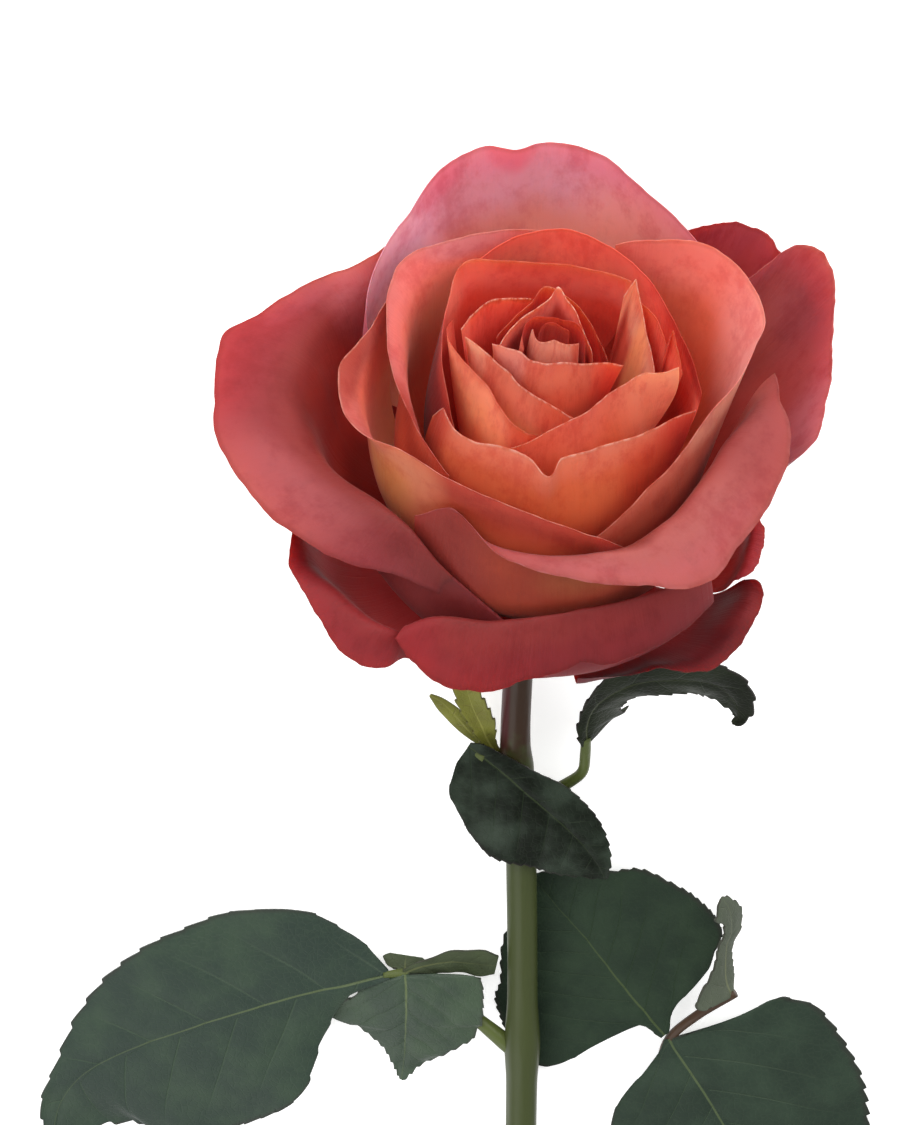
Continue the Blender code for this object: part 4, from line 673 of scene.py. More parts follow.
def petal_finish(name, skin):
    """Velvety petal skin: colours from foot to rim with soft tints, fine streaks and flecks, painted shade
    on the rim and on some petals a painted highlight along it.
    """
    finish = Finish(name)
    along = finish.uv("petal")
    u, v, _ = finish.parts(along)
    place = finish.place()
    drift = finish.drawn_out(along, 5.0, 2.0, 2.0)
    height = finish.math("MULTIPLY_ADD", finish.math("SUBTRACT", drift, 0.5), 0.12, v)
    colour = finish.ramp(height, [(at, paint(*tone)) for at, *tone in skin.stops])
    for tint in skin.tints:
        across = finish.math("DIVIDE", finish.math("SUBTRACT", u, tint.along), tint.wide)
        up = finish.math("DIVIDE", finish.math("SUBTRACT", v, tint.up), tint.high)
        reach = finish.math("MULTIPLY_ADD", across, across, finish.times(up, up))
        reach = finish.math("MULTIPLY_ADD", drift, 0.8, reach)
        colour = finish.mix(finish.between(reach, 0.4, 1.7, tint.share, 0.0), colour, paint(*tint.colour))
    # Light and shade in streaks up the petal, in patches and in grain
    light = LEAST_LIGHT
    for texture, share in (
            (finish.drawn_out(along, 46.0, 1.6, 4.0, 0.6), 0.12),
            (finish.noise(place, 160.0), 0.22),
            (finish.noise(place, 700.0, 3.0, 0.7), 0.12)):
        light = finish.math("MULTIPLY_ADD", finish.between(texture, 0.3, 0.7), share, light)
    colour = finish.darkened(colour, light)
    blotches = finish.between(finish.drawn_out(along, 9.0, 5.0, 5.0, 0.7), 0.46, 0.66)
    blotches = finish.times(blotches, finish.between(v, 0.5, 0.95, 0.15, 0.7))
    colour = finish.mix(blotches, colour, MOTTLE, "MULTIPLY")
    # Painted shade on the thin rim, so that it does not show as a light outline
    colour = finish.mix(finish.between(v, 0.982, 1.0, 0.0, 0.9), colour, PAINTED_RIM_SHADE, "MULTIPLY")
    # A broken pale line along the rim: a painted highlight where the thin edge catches the light
    if skin.pale:
        broken = finish.between(finish.drawn_out(along, 24.0, 1.0), 0.38, 0.6)
        line = finish.times(finish.between(v, 0.986, 0.999), finish.times(broken, skin.pale))
        colour = finish.mix(line, colour, paint(*skin.edge))
    velvet = finish.noise(place, 2600.0, 2.0)
    veins = finish.drawn_out(along, 90.0, 2.4, 3.0, 0.6)
    relief = finish.math("MULTIPLY_ADD", velvet, 0.25, veins)
    return finish.set(
        base_color=colour, roughness=0.62, normal=finish.bump(relief, 0.00022, 0.6),
        subsurface_weight=0.35, subsurface_radius=(1.0, 0.3, 0.16), subsurface_scale=0.0021,
        sheen_weight=0.04, sheen_roughness=0.4, specular_ior_level=0.2)


# A leaf's finish: its lamina, a second tone in patches (on the shiny front leaf, light patches that are
# painted highlights), its midrib, its side veins, its roughness, its clear coat, and how strongly it mirrors
Leaf = namedtuple("Leaf", "lamina patch midrib vein roughness coat gloss")
LEAF_RIM = (44, 38, 38)
LEAF_FACES = {
    "matte": Leaf((38, 52, 44), (48, 64, 50), (80, 92, 62), (60, 76, 58), 0.5, 0.02, 0.22),
    "satin": Leaf((46, 60, 48), (58, 74, 56), (84, 96, 62), (68, 84, 62), 0.45, 0.05, 0.25),
    "deep": Leaf((32, 44, 34), (40, 54, 40), (64, 76, 48), (50, 64, 46), 0.5, 0.0, 0.08),
    "mid": Leaf((35, 47, 38), (44, 58, 46), (72, 84, 56), (56, 70, 52), 0.5, 0.0, 0.13),
    # A very dark lamina with light grey patches: the patches are painted highlights for the leaf's shine
    "painted_gloss": Leaf((12, 18, 10), (48, 58, 48), (46, 56, 34), (40, 52, 34), 0.36, 0.04, 0.08),
    "arch": Leaf((20, 24, 15), (34, 40, 27), (54, 60, 36), (40, 50, 30), 0.42, 0.02, 0.08),
    "pale": Leaf((60, 68, 50), (70, 80, 56), (90, 96, 64), (78, 86, 60), 0.6, 0.0, 0.12),
    "underside": Leaf((70, 77, 64), (82, 89, 74), (98, 103, 78), (87, 93, 76), 0.6, 0.0, 0.15),
    "bract": Leaf((102, 102, 42), (122, 124, 50), (142, 142, 72), (126, 116, 62), 0.5, 0.05, 0.2),
}
# The finish under a leaf, where it isn't the plain underside
UNDER_FACES = {"underside": "matte", "bract": "bract"}


def leaf_finish(name, leaf):
    """A leaf's skin with a pale midrib, side veins and a fine net of veins between them."""
    finish = Finish(name)
    column, across, _ = finish.parts(finish.uv("veins"))
    width, reach, _ = finish.parts(finish.uv("blade"))
    place = finish.place()
    lamina, patch_or_highlight, midrib, vein = (paint(*tone) for tone in leaf[:4])
    # Patches of a second tone; on the shiny front leaf they are painted highlights
    colour = finish.mix(finish.between(finish.noise(place, 110.0, 4.0), 0.35, 0.7), lamina, patch_or_highlight)
    net_line = finish.between(finish.cells(place, 900.0), 0.0, 0.12, 1.0, 0.0)
    colour = finish.mix(finish.times(net_line, 0.12), colour, vein)
    side = finish.between(finish.from_middle(finish.math("FRACT", column), 0.5), 0.0, 0.035, 1.0, 0.0)
    off_middle = finish.math("ABSOLUTE", across)
    side_line = finish.times(side, finish.between(off_middle, 0.35, 0.92, 1.0, 0.0))
    colour = finish.mix(finish.times(side_line, 0.5), colour, vein)
    # The midrib grows thinner and fainter towards the tip
    half_rib = finish.between(reach, 0.05, 1.0, 0.28, 0.08)
    rib = finish.between(
        finish.math("DIVIDE", finish.math("ABSOLUTE", width), half_rib), 0.55, 1.0, 1.0, 0.0)
    rib = finish.times(rib, finish.between(reach, 0.1, 1.0, 0.9, 0.35))
    colour = finish.mix(rib, colour, midrib)
    colour = finish.mix(finish.between(off_middle, 0.95, 1.0, 0.0, 0.5), colour, paint(*LEAF_RIM))
    relief = finish.math("ADD", finish.times(side_line, -0.7), finish.times(net_line, -0.25))
    relief = finish.math("MULTIPLY_ADD", finish.noise(place, 500.0), 0.4, relief)
    return finish.set(
        base_color=colour, roughness=leaf.roughness, normal=finish.bump(relief, 0.00025, 0.6),
        coat_weight=leaf.coat, coat_roughness=0.32, specular_ior_level=leaf.gloss)


STEM_GREEN = (57, 65, 33)
STEM_RED = (52, 34, 21)
STEM_STRIPE = (66, 20, 24)
PETIOLE_GREEN = (74, 84, 40)
RACHIS_BROWN = (62, 44, 30)
# Where the stem turns from green to red, along the table; how far round the stem from its left side the
# stripe on the red part runs, and the stripe's half width, both as shares of a turn
STEM_TURN = (BLOOM_Y - 55.0) * MM
STRIPE_PLACE = 0.1
STRIPE_HALF = 0.09


def stem_finish(name, lower, upper=None, stripe=None):
    """A smooth stalk skin. The part nearer to the bloom may have a colour and a stripe of its own."""
    finish = Finish(name)
    place = finish.place()
    around = finish.uv("stalk")
    streaks = finish.drawn_out(around, 7.0, 6.0, 4.0)
    colour = paint(*lower)
    if upper is not None:
        _, y, _ = finish.parts(place)
        drift = finish.math("MULTIPLY_ADD", finish.math("SUBTRACT", streaks, 0.5), 0.012, y)
        share = finish.between(drift, STEM_TURN - 0.004, STEM_TURN + 0.006)
        off = finish.from_middle(finish.parts(around)[0], STRIPE_PLACE)
        striped = finish.between(off, 0.5 * STRIPE_HALF, STRIPE_HALF, 0.85, 0.0)
        colour = finish.mix(share, colour, finish.mix(striped, paint(*upper), paint(*stripe)))
    light = finish.math("MULTIPLY_ADD", finish.noise(place, 140.0, 4.0), 0.5, 0.58)
    light = finish.math("MULTIPLY_ADD", streaks, 0.35, light)
    return finish.set(
        base_color=finish.darkened(colour, light), roughness=0.42,
        normal=finish.bump(finish.drawn_out(around, 9.0, 0.8, 2.0), 0.0004, 0.5),
        coat_weight=0.03, coat_roughness=0.35, specular_ior_level=0.22)


# Curves

def cubic(first, last, leaving, arriving, t):
    """A cubic curve from the first value to the last, with its slopes there; t runs from 0 to 1."""
    return (first * (2 * t**3 - 3 * t**2 + 1) + last * (3 * t**2 - 2 * t**3)
            + leaving * (t**3 - 2 * t**2 + t) + arriving * (t**3 - t**2))


def smooth_through(knots, values, x):
    """The values at each x of a smooth curve through the values at the knots, flattened at turns."""
    knots = np.asarray(knots, float)
    values = np.asarray(values, float)
    x = np.asarray(x, float)
    steps = np.diff(knots)
    slopes = np.diff(values, axis=0) / steps[:, None]
    tangents = np.empty_like(values)
    tangents[0] = slopes[0]
    tangents[-1] = slopes[-1]
    before, after = slopes[:-1], slopes[1:]
    mean = (before * steps[1:, None] + after * steps[:-1, None]) / (steps[:-1] + steps[1:])[:, None]
    limit = 3.0 * np.minimum(abs(before), abs(after))
    tangents[1:-1] = np.where(before * after <= 0.0, 0.35 * mean, np.clip(mean, -limit, limit))
    k = np.clip(np.searchsorted(knots, x) - 1, 0, len(knots) - 2)
    t = ((x - knots[k]) / steps[k])[..., None]
    step = steps[k][..., None]
    return cubic(values[k], values[k + 1], step * tangents[k], step * tangents[k + 1], t)


def shares_along(points):
    """The share of the whole length at which each point of a line lies."""
    lengths = np.linalg.norm(np.diff(np.asarray(points, float), axis=0), axis=1)
    return np.concatenate([[0.0], np.cumsum(lengths)]) / lengths.sum()


def free_curves(points, shares):
    """Smooth curves through each column's profile points, at the given shares: (shares, columns, 2)."""
    steps = np.linalg.norm(np.diff(points, axis=0), axis=2) ** 0.75
    knots = np.concatenate([np.zeros((1, steps.shape[1])), np.cumsum(steps, axis=0)])
    slopes = np.diff(points, axis=0) / steps[..., None]
    tangents = np.empty_like(points)
    before, after = steps[:-1, :, None], steps[1:, :, None]
    tangents[1:-1] = (slopes[:-1] * after + slopes[1:] * before) / (before + after)
    tangents[0] = 1.5 * slopes[0] - 0.5 * tangents[1]
    tangents[-1] = 1.5 * slopes[-1] - 0.5 * tangents[-2]
    x = shares[:, None] * knots[-1]
    k = (x[None] > knots[1:-1, None, :]).sum(axis=0)
    column = np.arange(steps.shape[1])[None, :]
    step = steps[k, column][..., None]
    t = (x - knots[k, column])[..., None] / step
    return cubic(points[k, column], points[k + 1, column],
                 step * tangents[k, column], step * tangents[k + 1, column], t)


def ripple(u, seed, waves):
    """A gentle uneven wave along a rim, between -1 and 1."""
    chance = np.random.default_rng(seed)
    total = np.zeros_like(u)
    for harmonic in waves:
        total += math.tau / harmonic * np.sin(math.tau * harmonic * u + chance.uniform(0.0, math.tau))
    return total / sum(math.tau / harmonic for harmonic in waves)


def unit(vectors):
    """The vectors at length one."""
    return vectors / np.maximum(np.linalg.norm(vectors, axis=-1, keepdims=True), 1e-12)


def paired(first, second):
    """A grid of pairs from two grids, or from one row and one column."""
    return np.stack(np.broadcast_arrays(first, second), axis=2)


def bloom_matrix():
    """Turns a point from the bloom's frame, in mm about its foot, to the table's frame, in metres."""
    sine, cosine = math.sin(BLOOM_RISE), math.cos(BLOOM_RISE)
    lying = Matrix(((1, 0, 0), (0, sine, cosine), (0, -cosine, sine)))
    lean_axis = Vector((0.0, math.sin(LEAN_LINE), math.cos(LEAN_LINE)))
    turn = Matrix.Rotation(-BLOOM_LEAN, 3, lean_axis) @ lying
    return Matrix.Translation(BLOOM_FOOT) @ turn.to_4x4() @ Matrix.Scale(MM, 4)


def moved(points, matrix):
    """An array of points, turned and moved by a matrix."""
    array = np.array(matrix, float)
    return points @ array[:3, :3].T + array[:3, 3]


# Meshes

def dress(piece, name):
    """Fixes a piece to the flower, in place of the part's node that its name begins with."""
    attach(piece, "root")
    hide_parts(name.split(".")[0])


def add_thickness(piece, thickness, under, edge):
    """Gives a sheet its thickness, the finish of its under side and softly rounded edges, in mm."""
    solid = piece.modifiers.new("Thickness", "SOLIDIFY")
    solid.thickness = thickness * MM
    solid.offset = 0.0
    solid.material_offset = under
    soft = piece.modifiers.new("Soft edge", "BEVEL")
    soft.width = edge * MM
    soft.segments = 2
    soft.limit_method = "ANGLE"
    soft.angle_limit = math.radians(60.0)
    soft.profile = 0.5
    return solid


def grid_piece(name, places, layers, finishes, flip=False, thickness=None, edge=0.0, body=None):
    """A grid mesh whose points stand at places (rows, columns, 3), with UV layers of the same shape.
    body says how much of the full thickness each point has, from 0 at a thin rim to 1."""
    rows, columns = places.shape[:2]
    bm = bmesh.new()
    bmesh.ops.create_grid(bm, x_segments=columns - 1, y_segments=rows - 1, size=0.5)
    if flip:
        bmesh.ops.reverse_faces(bm, faces=bm.faces)
    mesh = bpy.data.meshes.new(name)
    bm.to_mesh(mesh)
    bm.free()
    # The new grid runs from -0.5 to 0.5, so a point's place in it says which row and column it is in
    flat = np.empty(len(mesh.vertices) * 3, np.float32)
    mesh.vertices.foreach_get("co", flat)
    flat = flat.reshape(-1, 3)
    column = np.rint((flat[:, 0] + 0.5) * (columns - 1)).astype(int)
    row = np.rint((flat[:, 1] + 0.5) * (rows - 1)).astype(int)
    mesh.vertices.foreach_set("co", places[row, column].astype(np.float32).ravel())
    corner = np.empty(len(mesh.loops), np.int32)
    mesh.loops.foreach_get("vertex_index", corner)
    for layer, values in layers.items():
        made = mesh.uv_layers.new(name=layer)
        made.data.foreach_set("uv", values[row[corner], column[corner]].astype(np.float32).ravel())
    mesh.update()
    mesh.shade_smooth()
    for finish in finishes:
        mesh.materials.append(finish)
    piece = bpy.data.objects.new(name, mesh)
    bpy.context.scene.collection.objects.link(piece)
    if thickness is not None:
        solid = add_thickness(piece, thickness, len(finishes) - 1, edge)
        if body is not None:
            group = piece.vertex_groups.new(name="body")
            level = np.rint(body[row, column] * BODY_LEVELS).astype(int)
            for k in range(1, BODY_LEVELS + 1):
                group.add(np.flatnonzero(level == k).tolist(), k / BODY_LEVELS, "REPLACE")
            solid.vertex_group = group.name
            solid.thickness_vertex_group = RIM_SHARE
    return piece


def normals_of(places):
    """The unit normals of a grid of points."""
    return unit(np.cross(np.gradient(places, axis=1), np.gradient(places, axis=0)))


class PetalForm:
    """The middle surface of a petal: u runs along the rim, v from the foot to the rim."""

    CLAW_LEAST = 0.5
    CLAW_SHARE = 0.3
    BELLY_MOST = 0.55
    CREST_SHARE = 0.15
    LEAN_POWER = 1.5
    # Notches of the rim narrower than the span fade out below it, by this power of v
    DETAIL_SPAN = 0.09
    DETAIL_STEPS = 3
    DETAIL_POWER = 5

    def __init__(self, petal):
        self.petal = petal
        self.polar = np.array([station[:3] for station in petal.rim], float)
        self.rolls = np.array([station[3:] or (0.0, 0.0) for station in petal.rim], float)
        angles = np.radians(self.polar[:, 0])
        radii = self.polar[:, 1]
        self.knots = shares_along(np.stack([radii * np.cos(angles), radii * np.sin(angles),
                                            self.polar[:, 2]], axis=1))
        self.top = float(self.polar[:, 2].mean())
        self.foot_radius = FIRST_RING + RING_PITCH * petal.ring
        self.foot_height = RECEPTACLE_TOP - RECEPTACLE_CURVE * self.foot_radius**2
        middle = 0.5 * (self.polar[0, 0] + self.polar[-1, 0])
        self.claw = petal.claw + 360.0 * round((middle - petal.claw) / 360.0)
        half_claw = math.degrees((self.CLAW_LEAST + self.CLAW_SHARE * self.foot_radius) / self.foot_radius)
        self.half_claw = math.copysign(half_claw, self.polar[-1, 0] - self.polar[0, 0])

    def rim(self, u):
        azimuth, radius, height = smooth_through(self.knots, self.polar, u).T
        angle = np.radians(azimuth)
        return np.stack([radius * np.cos(angle), radius * np.sin(angle), height], axis=1)

    def soft_rim(self, u):
        """The rim with its small notches averaged away, which shapes the petal below it."""
        first, last = self.rim(np.array([0.0, 1.0]))
        total = np.zeros((len(u), 3))
        for k in range(-self.DETAIL_STEPS, self.DETAIL_STEPS + 1):
            x = u + self.DETAIL_SPAN * k / self.DETAIL_STEPS
            inside = self.rim(np.where(x < 0.0, -x, np.where(x > 1.0, 2.0 - x, x)))
            inside = np.where((x < 0.0)[:, None], 2 * first - inside, inside)
            total += np.where((x > 1.0)[:, None], 2 * last - inside, inside)
        return total / (2 * self.DETAIL_STEPS + 1)

    def places(self, u, v):
        """The points of the middle surface in the bloom's frame, as (rows, columns, 3)."""
        sharp = self.rim(u)
        soft = self.soft_rim(u)
        radius, height = np.hypot(soft[:, 0], soft[:, 1]), soft[:, 2]
        near = smooth_through(self.knots, self.polar, u)[:, 0]
        azimuth = np.degrees(np.arctan2(soft[:, 1], soft[:, 0]))
        azimuth += 360.0 * np.round((near - azimuth) / 360.0)
        belly_radius, belly_height = self.petal.belly
        belly_height = np.minimum(belly_height, self.BELLY_MOST * height)
        same = np.ones_like(u)
        profile = [(self.foot_radius * same, self.foot_height * same), (belly_radius * same, belly_height)]
        if self.rolls.any():
            out, drop = smooth_through(self.knots, self.rolls, u).T
            profile.append((radius + self.CREST_SHARE * (belly_radius - radius) - out,
                            height + self.CREST_SHARE * (belly_height - height) + drop))
        profile.append((radius, height))
        points = np.stack([np.stack(pair, axis=1) for pair in profile])
        r, h = np.moveaxis(free_curves(points, v), 2, 0)
        claw_azimuth = self.claw + self.half_claw * (2 * u - 1)
        first, last = self.petal.fill
        width = 1 - (1 - v)[:, None] ** (first + (last - first) * u)[None, :]
        angle = np.radians(claw_azimuth + (azimuth - claw_azimuth) * width)
        shift = np.maximum(0.0, h / self.top) ** self.LEAN_POWER
        place = np.stack([r * np.cos(angle) + self.petal.lean[0] * shift,
                          r * np.sin(angle) + self.petal.lean[1] * shift, h], axis=2)
        return place + (sharp - soft)[None] * (v**self.DETAIL_POWER)[:, None, None]


def rim_waves(petal, seed, waves, size, u, v, power):
    """How far each point of a petal is moved by waves that grow towards the rim, in mm."""
    return (size * petal.frill * ripple(u, seed, waves)[None, :] * (v**power)[:, None])[..., None]


def build_petals():
    matrix = bloom_matrix()
    inner = {key: petal_finish(f"{key}_inner_face", skin) for key, skin in INNER_FACES.items()}
    outer = {key: petal_finish(f"{key}_outer_face", skin) for key, skin in OUTER_FACES.items()}
    for number, petal in enumerate(PETALS):
        columns, rows = PETAL_MESH.get(petal.skin, LARGE_PETAL_MESH)
        u = np.linspace(0.0, 1.0, columns + 1)
        v = 1.0 - (1.0 - np.linspace(0.0, 1.0, rows + 1)) ** CLOSER_ROWS
        places = PetalForm(petal).places(u, v)
        normals = normals_of(places)
        places = places + normals * (
            rim_waves(petal, number, WAVES, 1.0, u, v, WAVE_POWER)
            + rim_waves(petal, 100 + number, CRINKLES, CRINKLE_SHARE, u, v, CRINKLE_POWER))
        upward = unit(np.gradient(places, axis=0))
        places = places + upward * rim_waves(petal, 200 + number, NICKS, NICK_SHARE, u, v, NICK_POWER)
        centre = (rows // 2, columns // 2)
        inward = normals[centre] @ (-places[centre] * (1.0, 1.0, 0.0))
        on_table = moved(places, matrix)
        thick = YOUNG_PETAL_THICK if petal.skin in ("heart", "inner") else PETAL_THICK
        on_table[..., 2] = np.maximum(on_table[..., 2], 0.5 * thick * MM)
        body = np.clip((1.0 - v) / RIM_REACH, 0.0, 1.0)[:, None] * np.clip(
            np.minimum(u, 1.0 - u) / SIDE_REACH, 0.0, 1.0)[None, :]
        faces = [kind.get(petal.name, kind[petal.skin]) for kind in (inner, outer)]
        piece = grid_piece(petal.name, on_table, {"petal": paired(u[None, :], v[:, None])}, faces,
                           inward < 0.0, thick, PETAL_EDGE, body)
        dress(piece, petal.name)


def build_sepals(top, under):
    """Five sepals bent down round the hip, each with a rib along its middle and an uneven edge."""
    matrix = bloom_matrix()
    knots = shares_along([s[:2] for s in SEPAL_COURSE])
    columns, rows = SEPAL_MESH
    v = np.linspace(0.0, 1.0, rows + 1)
    side = np.linspace(-1.0, 1.0, columns + 1)
    for number, azimuth in enumerate(SEPAL_AZIMUTHS, start=1):
        radius, height, half = smooth_through(knots, SEPAL_COURSE, v).T
        lobes = 1.0 + SEPAL_LOBE * np.sin(SEPAL_LOBES * v + number) * np.sin(math.pi * v)
        wide = (half * lobes)[:, None] * side[None, :]
        wavy = SEPAL_WAVE * np.sin(SEPAL_WAVES * v + 2.0 * number)[:, None] * (side**2)[None, :]
        out = radius[:, None] - SEPAL_CUP * half[:, None] * side[None, :] ** 2
        rib = SEPAL_RIB * np.exp(-(wide / SEPAL_RIB_HALF) ** 2)
        places = np.stack([out + rib, wide, height[:, None] + wavy], axis=2)
        turn = Matrix.Rotation(math.radians(azimuth), 4, "Z")
        on_table = moved(moved(places, turn), matrix)
        column = SEPAL_VEINS * v[:, None] - SEPAL_VEIN_SLANT * abs(side)[None, :] + SEPAL_VEIN_START
        layers = {"veins": paired(column, side[None, :]), "blade": paired(wide, v[:, None])}
        piece = grid_piece(f"sepal_{number}", on_table, layers, [top, under], False, SEPAL_THICK, SEPAL_EDGE)
        dress(piece, f"sepal_{number}")


def tooth_shape(course):
    """A leaf margin's teeth: each rises slowly towards the tip and drops back at once."""
    phase = course % 1.0
    return np.where(phase < TOOTH_RISE, phase / TOOTH_RISE, (1.0 - phase) / TOOTH_DROP)


def blade_frame(stations, v, tilt):
    """The directions along a leaf, across it and out of its face, at each share v of its midrib."""
    knots = shares_along(stations[:, :3])
    ahead = smooth_through(knots, stations, np.minimum(1.0, v + 0.02))[:, :3]
    behind = smooth_through(knots, stations, np.maximum(0.0, v - 0.02))[:, :3]
    tangent = unit(ahead - behind)
    side = unit(np.cross([0.0, 0.0, 1.0], tangent))
    normal = np.cross(tangent, side)
    sine, cosine = math.sin(math.radians(tilt)), math.cos(math.radians(tilt))
    return tangent, side * cosine + normal * sine, normal * cosine - side * sine


def build_blade(blade, faces):
    stations = np.array(blade.stations, float)
    columns, rows = blade.mesh
    shares = np.linspace(0.0, 1.0, rows + 1)
    even = np.linspace(-1.0, 1.0, columns + 1)
    x, y, z, left, right = smooth_through(shares_along(stations[:, :3]), stations, shares).T
    tangent, across, upright = blade_frame(stations, shares, blade.tilt)
    length = float(np.linalg.norm(np.diff(stations[:, :3], axis=0), axis=1).sum())
    # v runs from base to tip and s from the right edge, at -1, over the midrib to the left edge
    v = shares[:, None]
    s = (np.sign(even) * (1.0 - (1.0 - abs(even)) ** CLOSER_ROWS))[None, :]
    half = np.maximum(np.where(s > 0.0, left[:, None], right[:, None]), LEAST_HALF)
    out = s * half
    point = np.zeros_like(out)
    if blade.teeth:
        pitch = length / blade.teeth
        teeth = tooth_shape(v * blade.teeth + np.where(s > 0.0, 0.0, TOOTH_SHIFT))
        teeth = teeth * np.clip(TOOTH_FADE * np.sin(math.pi * v), 0.0, 1.0)
        teeth = teeth * np.clip((abs(s) - (1.0 - TOOTH_BAND)) / TOOTH_BAND, 0.0, 1.0) ** TOOTH_POWER
        out = out + np.sign(s) * teeth * (TOOTH_DEPTHS.get(blade.name, TOOTH_DEPTH) * pitch)
        point = teeth * (TOOTH_POINT * pitch)
    slant = VEIN_SLANT * abs(out) / length
    column = blade.veins * (v - slant - VEIN_BEND * slant * abs(s)) + np.where(s > 0.0, 0.0, VEIN_SHIFT)
    off_vein = np.clip(abs(column % 1.0 - 0.5) / VALLEY, 0.0, 1.0)
    bulge = BULGE * np.minimum(1.0, half / BULGE_HALF) * (off_vein - 1.0)
    bulge = bulge * np.clip(1.0 - abs(s), 0.0, 0.5) * 2.0
    groove = -GROOVE_DEPTH * np.exp(-(out / GROOVE_WIDTH) ** 2) * np.clip(half / GROOVE_HALF, 0.0, 1.0)
    bend = (blade.wave * np.sin(LEAF_WAVES * v + LEAF_WAVE_TURN * s) - blade.droop * half) * s * s
    places = (np.stack([x, y, z], axis=1)[:, None] + across[:, None] * out[..., None]
              + tangent[:, None] * point[..., None] + upright[:, None] * (bend + bulge + groove)[..., None])
    on_table = (places + (BLOOM_X, BLOOM_Y, 0.0)) * MM
    on_table[..., 2] = np.maximum(on_table[..., 2], 0.5 * LEAF_THICK * MM)
    under = UNDER_FACES.get(blade.finish, "underside")
    piece = grid_piece(blade.name, on_table, {"veins": paired(column, s), "blade": paired(out, v)},
                       [faces[blade.finish], faces[under]], True, LEAF_THICK, LEAF_EDGE)
    dress(piece, blade.name)


def build_tube(name, rings, sides, finish, swell=None):
    """A round stalk along rings of (centre, radius) in metres, closed at both ends."""
    centres = np.array([centre for centre, _ in rings], float)
    radii = np.array([radius for _, radius in rings], float)
    tangent = unit(np.gradient(centres, axis=0))
    side = unit(np.cross(tangent, [0.0, 0.0, 1.0]))
    up = np.cross(side, tangent)
    angle = np.linspace(0.0, math.tau, sides + 1)
    radius = radii[:, None]
    if swell is not None:
        radius = radius * swell(angle[None, :], np.linspace(0.0, 1.0, len(rings))[:, None])
    ring = side[:, None] * np.cos(angle)[None, :, None] + up[:, None] * np.sin(angle)[None, :, None]
    places = centres[:, None] + ring * radius[..., None]
    uv = paired(angle[None, :] / math.tau, np.linspace(0.0, 20.0, len(rings))[:, None])
    piece = grid_piece(name, places, {"stalk": uv}, [finish])
    bm = bmesh.new()
    bm.from_mesh(piece.data)
    bmesh.ops.remove_doubles(bm, verts=bm.verts, dist=1e-6)
    bmesh.ops.holes_fill(bm, edges=[edge for edge in bm.edges if edge.is_boundary], sides=0)
    bmesh.ops.recalc_face_normals(bm, faces=bm.faces)
    bm.to_mesh(piece.data)
    bm.free()
    piece.data.shade_smooth()
    return piece


def on_table_rings(stations, count):
    """Evenly spaced rings on a smooth curve through (x, y, z, radius) stations."""
    knots = shares_along([s[:3] for s in stations])
    values = smooth_through(knots, stations, np.linspace(0.0, 1.0, count))
    return [(((BLOOM_X + x) * MM, (BLOOM_Y + y) * MM, z * MM), radius * MM) for x, y, z, radius in values]


def build_stem(finish):
    """The hip, the peduncle and the stem in one piece, down to its cut end."""
    matrix = bloom_matrix()
    dome_top = RECEPTACLE_TOP - SEAT_GAP
    dome = [(height, math.sqrt((dome_top - height) / RECEPTACLE_CURVE)) for height in DOME_HEIGHTS]
    profile = np.array((HIP + dome)[::-1])
    fine = smooth_through(shares_along(profile), profile, np.linspace(0.0, 1.0, HIP_RINGS))
    hip = [(tuple(matrix @ Vector((0.0, 0.0, height))), radius * MM) for height, radius in fine]
    lowest = Vector(hip[-1][0]) / MM
    neck = (lowest.x - BLOOM_X, lowest.y - BLOOM_Y, lowest.z, hip[-1][1] / MM)
    rings = hip + on_table_rings([neck] + PEDUNCLE, STEM_RINGS)[1:]
    piece = build_tube("stem", rings, STEM_SIDES, finish,
                       swell=lambda angle, run: 1.0 + STEM_RIDGE * np.sin(5.0 * angle + 3.0 * run))
    dress(piece, "stem")


def build_stalks(finishes):
    for stalk in STALKS:
        rings = on_table_rings(stalk.stations, stalk.rings)
        piece = build_tube(stalk.name, rings, STALK_SIDES, finishes[stalk.finish])
        dress(piece, stalk.name)


# The table, the light and the camera

def area_light(name, place, watts):
    light = bpy.data.lights.new(name, "AREA")
    light.shape = "DISK"
    light.size = LIGHT_SIZE
    light.energy = watts
    obj = bpy.data.objects.new(name, light)
    obj.location = place
    obj.rotation_euler = (LIGHT_TARGET - Vector(place)).to_track_quat("-Z", "Y").to_euler()
    bpy.context.scene.collection.objects.link(obj)


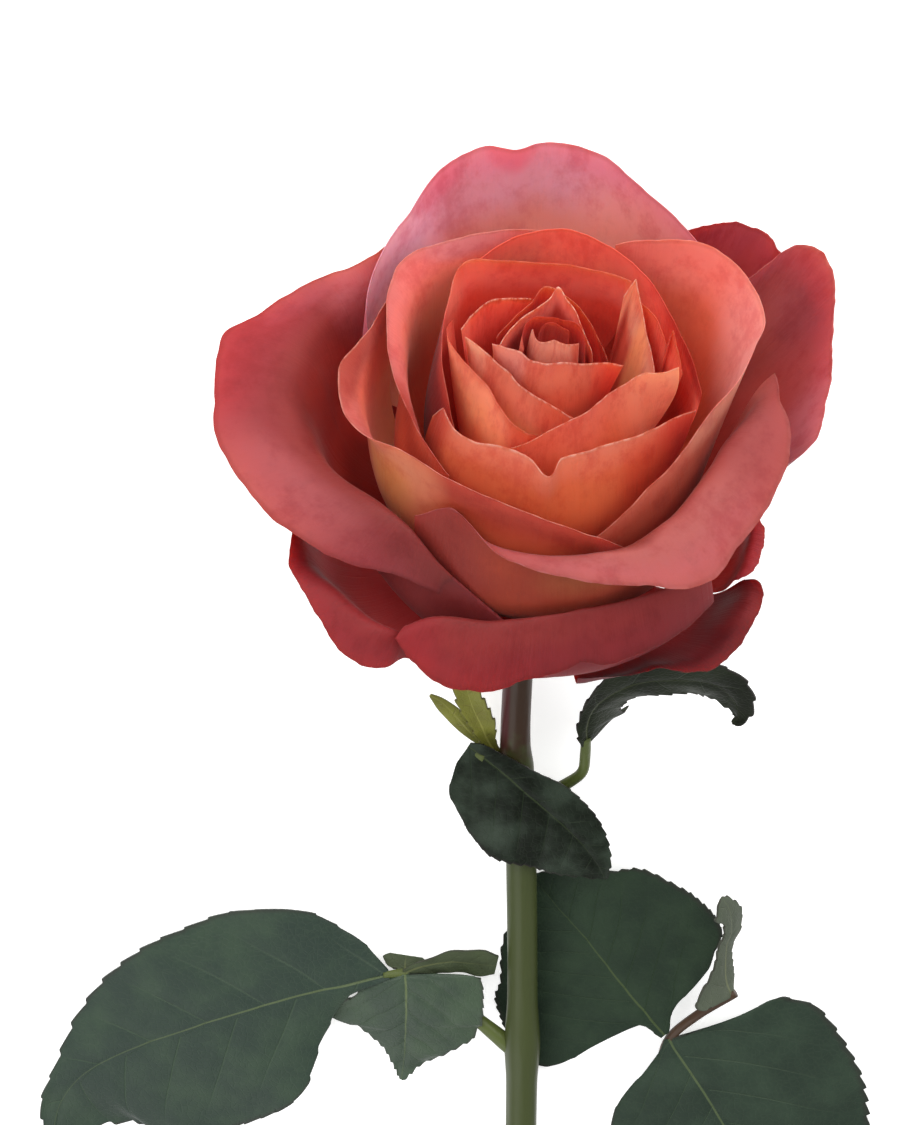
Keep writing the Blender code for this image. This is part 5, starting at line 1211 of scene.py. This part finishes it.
def build_table():
    bm = bmesh.new()
    bmesh.ops.create_grid(bm, x_segments=1, y_segments=1, size=TABLE_HALF)
    mesh = bpy.data.meshes.new("table")
    bm.to_mesh(mesh)
    bm.free()
    table = bpy.data.objects.new("table", mesh)
    bpy.context.scene.collection.objects.link(table)
    mesh.materials.append(Finish("white_table").set(
        base_color=(0.9, 0.9, 0.9, 1.0), roughness=0.8, emission_color=WHITE, emission_strength=TABLE_GLOW))


def light_scene():
    world = bpy.data.worlds.new("Studio")
    bpy.context.scene.world = world
    world.use_nodes = True
    background = world.node_tree.nodes["Background"]
    background.inputs["Color"].default_value = WHITE
    background.inputs["Strength"].default_value = SKY_LIGHT
    for name, place, watts in LIGHTS:
        area_light(name, place, watts)


def set_camera():
    camera = bpy.data.cameras.new("camera")
    camera.sensor_width = SENSOR
    camera.lens = CAMERA_DISTANCE * SENSOR / VIEW_HEIGHT
    camera.clip_end = 100.0
    up = Vector((0.0, math.cos(CAMERA_TILT), -math.sin(CAMERA_TILT)))
    back = Vector((0.0, math.sin(CAMERA_TILT), math.cos(CAMERA_TILT)))
    centre = BLOOM_FOOT + Vector((VIEW_RIGHT, 0.0, 0.0)) + up * VIEW_UP
    obj = bpy.data.objects.new("camera", camera)
    obj.location = centre + back * CAMERA_DISTANCE
    obj.rotation_euler = Matrix((Vector((1.0, 0.0, 0.0)), up, back)).transposed().to_euler()
    bpy.context.scene.collection.objects.link(obj)
    bpy.context.scene.camera = obj
    bpy.context.scene.view_settings.view_transform = "Standard"


set_camera()
light_scene()
build_table()
build_petals()
leaf_faces = {key: leaf_finish(f"leaf_{key}", leaf) for key, leaf in LEAF_FACES.items()}
build_sepals(leaf_faces["matte"], leaf_faces["underside"])
for leaf_blade in BLADES:
    build_blade(leaf_blade, leaf_faces)
build_stem(stem_finish("stem_skin", STEM_GREEN, STEM_RED, STEM_STRIPE))
build_stalks({
    "petiole": stem_finish("petiole_skin", PETIOLE_GREEN),
    "rachis": stem_finish("rachis_skin", RACHIS_BROWN),
})
